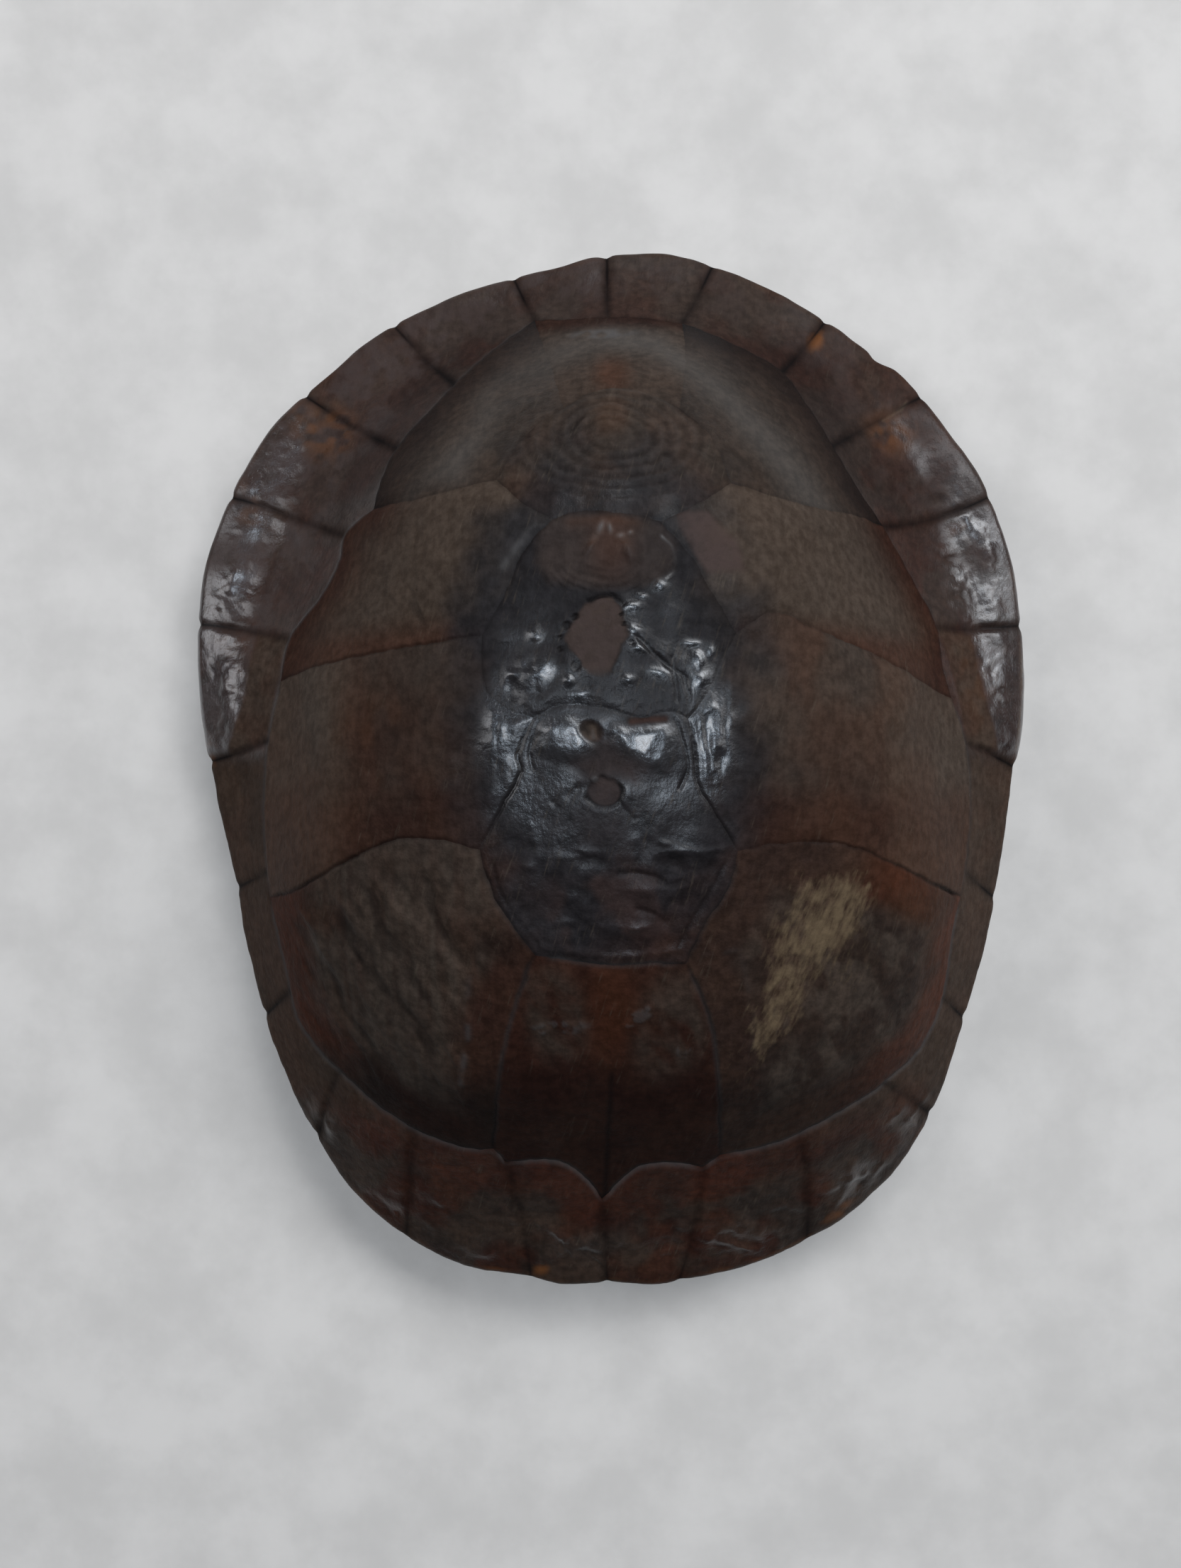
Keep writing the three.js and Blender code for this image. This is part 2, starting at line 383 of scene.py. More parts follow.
SEAMS = {
    "v1_m1_left": ["v1_tip", (-4.1, -85.0), (-8.0, -79.9), (-12.5, -77.9), "m1_m2_left"],
    "v1_m1_right": ["v1_tip", (1.1, -83.9), (5.0, -79.9), (11.2, -78.7), "m1_m2_right"],
    "v1_m2_left": ["m1_m2_left", "v1_corner_left"],
    "v1_m2_right": ["m1_m2_right", "v1_corner_right"],
    "v1_c1_left": ["v1_corner_left", (-21.3, -58.8), (-18.8, -47.5), (-15.6, -37.2), "v1_v2_left"],
    "v1_c1_right": ["v1_corner_right", (18.4, -54.4), (16.1, -44.8), (13.2, -38.0), "v1_v2_right"],
    "v1_v2": ["v1_v2_left", (-6.5, -35.6), (0.2, -36.4), (6.0, -35.9), "v1_v2_right"],
    "v2_c1_left": ["v1_v2_left", (-16.4, -31.5), (-18.6, -28.1), (-20.9, -24.9), (-21.9, -21.9),
                   (-23.0, -18.6), "c1_c2_left"],
    "v2_c1_right": ["v1_v2_right", (13.5, -32.8), (15.1, -29.2), (17.5, -25.5), (19.4, -22.5),
                    (20.2, -19.4), "c1_c2_right"],
    "v2_c2_left": ["c1_c2_left", (-20.2, -9.5), (-16.7, -3.4), (-16.7, 0.7), "v2_v3_left"],
    "v2_c2_right": ["c1_c2_right", (17.2, -10.5), (13.9, -4.7), (12.7, 4.0), "v2_v3_right"],
    "v2_v3": ["v2_v3_left", (-9.6, 8.6), (-2.5, 8.3), (3.6, 6.6), (9.2, 7.6), "v2_v3_right"],
    "v3_c2_left": ["v2_v3_left", (-19.5, 8.6), (-22.6, 12.5), "c2_c3_left"],
    "v3_c2_right": ["v2_v3_right", (15.4, 10.7), (17.4, 15.2), "c2_c3_right"],
    "v3_c3_left": ["c2_c3_left", (-19.7, 26.9), (-15.1, 36.4), "v3_v4_left"],
    "v3_c3_right": ["c2_c3_right", (15.8, 28.7), (12.8, 34.0), "v3_v4_right"],
    "v3_v4": ["v3_v4_left", (-6.1, 42.0), (1.9, 41.5), "v3_v4_right"],
    "v4_c3_left": ["v3_v4_left", (-16.5, 44.2), "c3_c4_left"],
    "v4_c3_right": ["v3_v4_right", (14.0, 43.6), "c3_c4_right"],
    "v4_c4_left": ["c3_c4_left", (-15.7, 58.3), "v4_v5_left"],
    "v4_c4_right": ["c3_c4_right", (17.2, 57.0), "v4_v5_right"],
    "v4_v5": ["v4_v5_left", (-3.7, 66.8), (2.7, 67.2), "v4_v5_right"],
    "v5_c4_left": ["v4_v5_left", (-12.6, 77.5), "v5_corner_left"],
    "v5_c4_right": ["v4_v5_right", (13.8, 77.0), "v5_corner_right"],
    "v5_m12_left": ["tail_middle", (-8.5, 92.0), "v5_corner_left"],
    "v5_m12_right": ["tail_middle", (6.5, 91.6), "v5_corner_right"],
    "c1_c2_left": ["c1_c2_left", (-30.8, -14.2), (-39.6, -14.6), (-49.2, -18.8), (-60.0, -24.4),
                   "c1_c2_flank_left"],
    "c1_c2_right": ["c1_c2_right", (27.2, -14.9), (38.6, -15.0), (49.8, -18.8), (60.5, -23.6),
                    "c1_c2_flank_right"],
    "c2_c3_left": ["c2_c3_left", (-28.3, 20.3), (-35.9, 19.5), (-47.1, 18.5), (-57.5, 17.6),
                   "c2_c3_flank_left"],
    "c2_c3_right": ["c2_c3_right", (27.4, 25.1), (35.2, 22.7), (45.2, 19.8), (54.6, 16.7), (62.5, 14.3),
                    "c2_c3_flank_right"],
    "c3_c4_left": ["c3_c4_left", (-25.4, 48.5), (-36.2, 47.7), "c3_c4_flank_left"],
    "c3_c4_right": ["c3_c4_right", (29.8, 46.6), (38.6, 46.4), (47.3, 47.5), "c3_c4_flank_right"],
    "c4_rim_left": ["v5_corner_left", (-23.3, 86.1), (-30.1, 78.5), (-36.7, 69.6), (-42.8, 62.2),
                    (-45.3, 55.1), "c3_c4_flank_left"],
    "c4_rim_right": ["v5_corner_right", (25.0, 86.1), (35.1, 80.8), (40.5, 71.2), (44.2, 63.0),
                     (48.8, 54.6), "c3_c4_flank_right"],
    "c3_rim_left": ["c3_c4_flank_left", (-53.4, 45.0), (-53.7, 39.5), (-57.0, 33.2), (-62.2, 28.8),
                    (-65.9, 25.0), "c2_c3_flank_left"],
    "c3_rim_right": ["c3_c4_flank_right", (61.5, 38.3), (67.0, 27.8), (67.2, 19.5), "c2_c3_flank_right"],
    "c2_rim_left": ["c2_c3_flank_left", (-70.2, 3.0), (-71.0, -11.5), "c1_c2_flank_left"],
    "c2_rim_right": ["c2_c3_flank_right", (72.4, 3.9), (73.1, -11.5), "c1_c2_flank_right"],
    "c1_rim_left": ["c1_c2_flank_left", (-66.2, -40.4), (-63.9, -51.7), (-59.5, -57.6), (-53.6, -62.2),
                    (-46.2, -67.9), (-39.1, -72.0), (-31.6, -74.9), (-27.0, -75.9), "v1_corner_left"],
    "c1_rim_right": ["c1_c2_flank_right", (68.0, -33.5), (66.9, -47.7), (62.5, -57.2), (53.8, -63.7),
                     (45.0, -68.4), (36.2, -72.9), (28.8, -75.6), "v1_corner_right"]}
SEAM_STEP = 0.42
SEAM_DEPTH = 0.36
SEAM_WIDTH = 0.36
JUNCTION_STRENGTH = 0.35
LANE = 9                    # keeps the random waver of one seam apart from that of the next
# For each seam the strength of its furrow at its first and last end, and how pale its borders are.
SEAM_LOOKS = {
    "v1_m1_left": (0.5, 0.5, 0.55), "v1_m1_right": (0.5, 0.5, 0.55), "v1_m2_left": (0.4, 0.4, 0.55),
    "v1_m2_right": (0.4, 0.4, 0.5), "v1_c1_left": (0.5, 0.7, 0.30), "v1_c1_right": (0.5, 0.7, 0.30),
    "v1_v2": (0.5, 0.5, 0.25), "v2_c1_left": (0.7, 0.6, 0.10), "v2_c1_right": (0.7, 0.6, 0.10),
    "v2_c2_left": (0.7, 0.8, 0), "v2_c2_right": (0.7, 0.8, 0), "v2_v3": (0.22, 0.22, 0),
    "v3_c2_left": (0.30, 0.2, 0), "v3_c2_right": (0.30, 0.25, 0.10), "v3_c3_left": (0.25, 0.4, 0),
    "v3_c3_right": (0.2, 0.3, 0), "v3_v4": (0.2, 0.2, 0), "v4_v5": (0.06, 0.06, 0),
    "v4_c3_left": (0.3, 0.3, 0), "v4_c3_right": (0.3, 0.3, 0),
    "v4_c4_left": (0.15, 0.1, 0), "v4_c4_right": (0.15, 0.1, 0),
    "v5_c4_left": (0.08, 0.12, 0), "v5_c4_right": (0.08, 0.12, 0), "v5_m12_left": (0.2, 0.2, 0),
    "v5_m12_right": (0.2, 0.2, 0), "c1_c2_left": (0.25, 1.1, 0), "c1_c2_right": (0.15, 1.2, 0),
    "c2_c3_left": (0.45, 0.6, 0), "c2_c3_right": (0.35, 0.4, 0), "c3_c4_left": (0.3, 0.2, 0),
    "c3_c4_right": (0.2, 0.2, 0), "c4_rim_left": (0.10, 0.10, 0.30), "c3_rim_left": (0.10, 0.15, 0.5),
    "c2_rim_left": (0.3, 0.4, 0.35), "c1_rim_left": (0.45, 0.5, 0.5), "c4_rim_right": (0.12, 0.15, 0.05),
    "c3_rim_right": (0.25, 0.25, 0.05), "c2_rim_right": (0.35, 0.4, 0.2), "c1_rim_right": (0.45, 0.5, 0.5)}


def length_along(line):
    """Length of a line of straight pieces up to each of its points."""
    return np.append(0, np.cumsum(np.hypot(*np.diff(line, axis=0).T)))


def seam_line(name, number, places):
    """Samples along a seam: a smooth curve through its places, with a fine waver to each side that dies
    away at the junctions. With each sample go how deep the furrow is there and how pale."""
    points = np.array([JUNCTIONS[place] if isinstance(place, str) else place for place in places], float)
    along = length_along(points)
    at = np.linspace(0, along[-1], max(8, round(along[-1] / SEAM_STEP)) + 1)
    line = through_values(along, points, at, level_start=False, level_end=False)
    ways = np.gradient(line, axis=0)
    ways /= np.hypot(ways[:, 0], ways[:, 1])[:, None]
    ends = smooth(np.minimum(at, along[-1] - at) / 2.5)
    lane = np.full_like(at, LANE * number)
    waver = ends * (0.16 * bumps(at, lane, 2.1, 21) + 0.09 * bumps(at, lane, 0.9, 22))
    line = line + waver[:, None] * np.stack([-ways[:, 1], ways[:, 0]], axis=-1)
    mid = smooth(np.minimum(at, along[-1] - at) / min(4.0, along[-1] / 2))
    first, last, pale = SEAM_LOOKS[name]
    deep = np.interp(at, [0, along[-1]], [first, last]) * (1 + 0.35 * bumps(at, lane, 8, 23))
    deep = JUNCTION_STRENGTH + (deep - JUNCTION_STRENGTH) * mid
    return np.column_stack([line, deep, pale * mid])


seam_lines = {name: seam_line(name, number, places) for number, (name, places) in enumerate(SEAMS.items())}


def joined(names):
    """Seam lines end to end, without repeating a junction, each sample with the strength of its furrow and
    how pale it is; and their last sample. A minus sign turns a line round."""
    parts = []
    for name in names:
        line = seam_lines[name[1:]][::-1] if name.startswith("-") else seam_lines[name]
        parts.append(line[:-1])
    return np.vstack(parts), line[-1]


def distance_to(x, y, line, closed=False):
    """Distance in plan from points to a line of straight pieces: the least over its pieces of the distance
    to the nearest place on the piece."""
    start = line.astype(np.float32)
    end = np.roll(start, -1, axis=0)
    if not closed:
        start, end = start[:-1], end[:-1]
    way = end - start
    long = np.maximum((way ** 2).sum(axis=1), 1e-9)
    flat = np.stack([np.ravel(x), np.ravel(y)], axis=-1).astype(np.float32)
    least = np.empty(len(flat), np.float32)
    at_once = 6000
    for first in range(0, len(flat), at_once):
        away = flat[first:first + at_once, None] - start
        share = np.clip((away * way).sum(axis=-1) / long, 0, 1)
        rest = away - share[..., None] * way
        least[first:first + at_once] = np.sqrt((rest ** 2).sum(axis=-1).min(axis=1))
    return least.reshape(np.shape(x)).astype(float)


def furrow(x, y, edge, strength):
    """Relief at a seam: a narrow furrow, a little deeper here and there, between softly raised borders."""
    depth = SEAM_DEPTH * (1 + 0.4 * bumps(x, y, 6, 31))
    raised = 0.03 * (1 + bumps(x, y, 4, 32)) * np.exp(-((edge - 1.1) / 0.7) ** 2)
    return strength * (raised - depth * np.exp(-(edge / SEAM_WIDTH) ** 2))


def stroke(x, y, points, width):
    """1 along a drawn line and falling away to each side over its width."""
    return np.exp(-(distance_to(x, y, np.array(points, float)) / width) ** 2)


def strokes_of(x, y, lines):
    """The highest of several strokes, each given by its points and its width."""
    return np.maximum.reduce([stroke(x, y, points, width) for points, width in lines])


def turned_to(x, y, centre, turn):
    """How far points lie from a centre along a turned direction and across it."""
    along = (x - centre[0]) * math.cos(turn) + (y - centre[1]) * math.sin(turn)
    across = (y - centre[1]) * math.cos(turn) - (x - centre[0]) * math.sin(turn)
    return along, across


def spot(x, y, centre, half, turn=0.0, soft=0.5):
    """1 inside an oval and 0 outside it, with a soft border. half gives its two half widths."""
    along, across = turned_to(x, y, centre, turn)
    return smooth((1 + soft / 2 - np.hypot(along / half[0], across / half[1])) / soft)


def spots_of(x, y, ovals, soft):
    """The highest of several spots, each given by its centre, half widths and turn."""
    return np.maximum.reduce([spot(x, y, centre, half, turn, soft) for centre, half, turn in ovals])


def mound(x, y, centre, half, turn=0.0):
    """A smooth rounded hump, 1 at its centre, with its half widths along and across a turned direction."""
    along, across = turned_to(x, y, centre, turn)
    return np.exp(-(along / half[0]) ** 2 - (across / half[1]) ** 2)


def mounds_of(x, y, humps):
    """The highest of several mounds, each given by its centre, half widths and turn."""
    return np.maximum.reduce([mound(x, y, centre, half, turn) for centre, half, turn in humps])


def patch(x, y, corners, soft=1.0):
    """1 inside a drawn outline and 0 outside it, over a soft border: the sign of a point comes from how
    often a line from it crosses the outline."""
    corners = np.array(corners, float)
    inside = np.zeros(np.shape(x), bool)
    for start, end in zip(corners, np.roll(corners, -1, axis=0)):
        spans = (start[1] > y) != (end[1] > y)
        with np.errstate(divide="ignore", invalid="ignore"):
            cross = (end[0] - start[0]) * (y - start[1]) / (end[1] - start[1]) + start[0]
        inside ^= spans & (x < cross)
    away = distance_to(x, y, corners, closed=True)
    return smooth(0.5 + np.where(inside, away, -away) / soft)


# THE HORN'S FINISH. Old horn, dark brown with red and olive in it, satin where it is scoured and glossy
# where it is smooth. Marks on each scute say where it is red, olive, slate, worn tan, bare of its top
# layer, amber, pale or dark, and how glossy it is. In places the pale, olive, bare and dark marks hold
# painted highlight, painted sheen or painted shade instead of the horn's own colour.
def old_horn():
    """Dark horn with clouds of brown, and the marked colours over it one after another, with fine streaks
    and scratches between them. Roughness, refraction and varnish follow the gloss mark."""
    material, tree, shader, place = new_material("old_horn")
    dark = (0.0128, 0.0078, 0.0070, 1)
    brown = (0.030, 0.0170, 0.0120, 1)
    red = (0.050, 0.0165, 0.0100, 1)
    olive = (0.052, 0.0425, 0.0350, 1)
    slate = (0.0150, 0.0150, 0.0172, 1)
    scratched = (0.085, 0.070, 0.055, 1)
    tan = (0.110, 0.081, 0.051, 1)
    bare = (0.050, 0.0370, 0.0350, 1)
    pale = (0.078, 0.078, 0.081, 1)
    amber = (0.20, 0.075, 0.022, 1)
    black = (0.0050, 0.0040, 0.0042, 1)
    clouds = ramp(tree, grain(tree, place, 90, 5), 0.36, 0.66)
    colour = blended(tree, clouds, dark, brown)
    colour = blended(tree, mark_of(tree, "red"), colour, red)
    colour = blended(tree, mark_of(tree, "olive"), colour, olive)
    colour = blended(tree, mark_of(tree, "slate"), colour, slate)
    streaks = ramp(tree, grain(tree, place, 1100, 4, (1, 0.09, 0.09)), 0.3, 0.7, 0.92, 1.08)
    flecks = ramp(tree, grain(tree, place, 520, 5), 0.3, 0.72, 0.72, 1.28)
    even = ramp(tree, mark_of(tree, "gloss"), 0.45, 0.75)
    streaks = node(tree, "ShaderNodeMix", {0: even, 2: streaks, 3: 1.0}).outputs[0]
    shade = product(tree, streaks, flecks)
    grey = node(tree, "ShaderNodeCombineColor",
                dict.fromkeys(("Red", "Green", "Blue"), shade)).outputs["Color"]
    colour = blended(tree, 1.0, colour, grey, "MULTIPLY")
    turned = node(tree, "ShaderNodeMapping", {"Vector": place, "Rotation": (0, 0, 0.3)}).outputs["Vector"]
    lines = ramp(tree, grain(tree, turned, 1800, 3, (1, 0.10, 0.10)), 0.55, 0.72)
    where = ramp(tree, grain(tree, place, 150, 4), 0.40, 0.66, 0, 0.32)
    colour = blended(tree, product(tree, lines, where), colour, scratched)
    slanted = node(tree, "ShaderNodeMapping", {"Vector": place, "Rotation": (0, 0, 0.36)}).outputs["Vector"]
    scratches = grain(tree, slanted, 1500, 4, (1, 0.24, 0.5))
    worn_through = node(tree, "ShaderNodeMath", {0: mark_of(tree, "tan"), 1: scratches},
                        operation="ADD").outputs[0]
    colour = blended(tree, ramp(tree, worn_through, 0.74, 1.46), colour, tan)
    uneven = ramp(tree, grain(tree, place, 420, 5), 0.30, 0.62, 0.55, 1.0)
    colour = blended(tree, product(tree, mark_of(tree, "bare"), uneven), colour, bare)
    colour = blended(tree, mark_of(tree, "amber"), colour, amber)
    colour = blended(tree, mark_of(tree, "pale"), colour, pale)
    colour = blended(tree, mark_of(tree, "dark"), colour, black)
    tree.links.new(colour, shader.inputs["Base Color"])
    shine = ramp(tree, mark_of(tree, "gloss"), 0, 1, 0.55, 0.26)
    tree.links.new(shine, shader.inputs["Roughness"])
    bending = ramp(tree, mark_of(tree, "gloss"), 0.2, 0.95, 1.08, 1.58)
    tree.links.new(bending, shader.inputs["IOR"])
    varnish = ramp(tree, mark_of(tree, "gloss"), 0.5, 1.0, 0.0, 0.6)
    tree.links.new(varnish, shader.inputs["Coat Weight"])
    shader.inputs["Coat Roughness"].default_value = 0.20
    shader.inputs["Specular Tint"].default_value = (0.86, 0.93, 1.0, 1)
    shader.inputs["Coat Tint"].default_value = (0.90, 0.95, 1.0, 1)
    fine = grain(tree, place, 1400, 3, (1, 0.5, 0.5))
    pits = node(tree, "ShaderNodeBump", {"Height": grain(tree, place, 520, 4), "Strength": 0.45,
                                         "Distance": 0.0005})
    bump = node(tree, "ShaderNodeBump", {"Height": fine, "Strength": 0.45, "Distance": 0.0002,
                                         "Normal": pits.outputs["Normal"]})
    lined = node(tree, "ShaderNodeBump", {"Height": streaks, "Strength": 0.25, "Distance": 0.00012,
                                          "Normal": bump.outputs["Normal"]})
    tree.links.new(lined.outputs["Normal"], shader.inputs["Normal"])
    return material


HORN = old_horn()
MARKS = ("red", "olive", "slate", "tan", "bare", "amber", "pale", "dark", "gloss")
RING_CROWDING = 0.35        # above 0 the rings of a scute lie closer together towards its seam
SEAM_BLEND = 1.5            # how far from the seam a scute's own relief reaches its full height
FURROW_DARKNESS = 0.70
FURROW_DARK_WIDTH = 0.42
PALE_WIDTH = 0.45
BACK_SLATE = 0.92           # the share of slate where the back is nearly black


def finished(piece):
    """Horn on a scute: it rides with the bone and stands for the same grown piece."""
    piece.data.materials.append(HORN)
    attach(piece, "root")
    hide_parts("carapace")


def all_marks(x, marks, darkened):
    """Every mark that the finish reads, 0 where a scute names none, with the furrows darkened."""
    full = {name: np.clip(np.broadcast_to(marks.get(name, 0.0), np.shape(x)), 0, 1) for name in MARKS}
    full["dark"] = np.clip(full["dark"] + darkened, 0, 1)
    return full


def furrow_dark(edge, strength, pale):
    """How dark a furrow is at a distance from its seam: less where its borders are pale."""
    return FURROW_DARKNESS * strength * np.exp(-(edge / FURROW_DARK_WIDTH) ** 2) * (1 - pale)


def furrow_pale(edge, pale):
    """How pale the worn borders of a furrow are at a distance from its seam."""
    return pale * np.exp(-(edge / PALE_WIDTH) ** 2)


def scute(name, seams, centre, rings, relief):
    """One scute of the dome. Straight spokes in plan run from its centre to every sample of the seam round
    it, with rings closer together towards the seam. relief(x, y, edge), with edge the distance to the
    seam, gives how far it stands out square to the dome and its marks; the seam's furrow is added to it,
    and at the seam only that is left, so that neighbours meet."""
    loop = joined(seams)[0]
    turned = loop[:, 0] * np.roll(loop[:, 1], -1) - loop[:, 1] * np.roll(loop[:, 0], -1)
    if turned.sum() < 0:
        loop = loop[::-1]
    strength = loop[:, 2]
    pale = loop[:, 3]
    loop = loop[:, :2]
    u = np.linspace(0, 1, rings + 1)[1:, None]
    share = u * (1 + RING_CROWDING) - RING_CROWDING * u * u
    x = centre[0] + share * (loop[:, 0] - centre[0])
    y = centre[1] + share * (loop[:, 1] - centre[1])
    edge = distance_to(x, y, loop, closed=True)
    edge[-1] = 0
    lift, marks = relief(x, y, edge)
    lift = furrow(x, y, edge, strength) + lift * (1 - np.exp(-(edge / SEAM_BLEND) ** 2))
    normal = dome_normal(x, y)
    points = np.stack([x, y, dome_height(x, y)], axis=-1) + normal * lift[..., None]
    marks["pale"] = marks.get("pale", 0.0) + furrow_pale(edge, pale)
    full = all_marks(x, marks, furrow_dark(edge, strength, pale))
    low = loop.min(axis=0)
    spread = (np.stack([x, y], axis=-1) - low) / (loop.max(axis=0) - low)
    finished(mesh_of(name, points, True, points[0].mean(axis=0), full, spread))


def crown_shine(x, y):
    """1 on the highest part of the back, where the horn is wettest looking, with an uneven border."""
    ragged = 0.22 * rough(x, y, 9, 48)
    away = np.hypot((x + 2.3) / 25, (y - 2) / 25)
    return smooth((1.15 + ragged - away) / 0.45)


def dark_back(x, y):
    """1 over the middle of the back, where the horn is nearly black, fading out towards the flanks."""
    away = np.hypot((x + 2.5) / 29, (y - 6) / 52) - 0.12 * rough(x, y, 8, 40)
    return smooth((1.15 - away) / 0.50)


def lit_rump_band(x, y):
    """1 on the band that arches over the rump, where the back turns steep towards the light from the tail:
    its paler olive is painted light.
    """
    path = [(-41, 33), (-36.5, 43), (-31, 51.5), (-22.5, 68.5), (-13, 79.5), (-1.2, 84.5), (8, 82),
            (18, 71.5), (28, 58), (37.5, 46), (47, 33)]
    return stroke(x, y, path, 4.4) * smooth(0.85 + 0.8 * bumps(x, y, 9, 49))


# THE VERTEBRAL SCUTES. Five plates in a row along the middle of the back. The second and third are worn,
# blistered and glossy, the fourth has its growth rings, and the fifth slopes down to the tail.
def vertebral_1(x, y, edge):
    """Broad, smooth and red, with an orange mark at the back, dull patches beside it, a dark line
    down the middle to its tip, and painted shade down its front slope towards the head."""
    lift = 0.25 * rough(x, y, 12, 42) + 0.03 * rough(x, y, 2.5, 43)
    dull = spots_of(x, y, [((-11, -46), (5.5, 9), 0.2), ((10, -48), (6.5, 10.5), -0.2)], 0.8)
    dull = dull * smooth(0.66 + 0.5 * rough(x + 0.5 * y, y * 0.6, 3.5, 44))
    flecks = np.maximum(spot(x, y, (-10, -48.3), (5.2, 1.5), 0.1), spot(x, y, (4.2, -45.8), (3.4, 1.2), 0.6))
    flecks = np.maximum(flecks, spot(x, y, (12.4, -52.8), (1.5, 1.4), 0.0))
    flecks = flecks * smooth(0.3 + 1.4 * rough(x, y, 1.6, 45))
    orange = spot(x, y, (-0.8, -44), (3.8, 10), 0.0, 1.3)
    lift += 0.15 * dull * rough(x, y, 2.6, 46) + 0.12 * flecks
    middle = stroke(x, y, [(-0.6, -58), (-1.1, -70), (-1.6, -88)], 0.6)
    lift -= 0.15 * middle
    # low grows down the front slope, and the dark it adds there is painted shade on the slope turned away
    # from the light.
    low = smooth((-50 - y) / 14)
    marks = {"red": 0.38 + 0.26 * orange, "olive": 0.6 * dull * (1 - 0.6 * orange), "amber": 0.055 * orange,
             "pale": 0.35 * flecks,
             "dark": 0.3 * middle + 0.22 + 0.33 * low * (1 - dull) * (1 - 0.5 * orange),
             "gloss": 0.22 + 0.1 * bumps(x, y, 5, 47)}
    return lift, marks


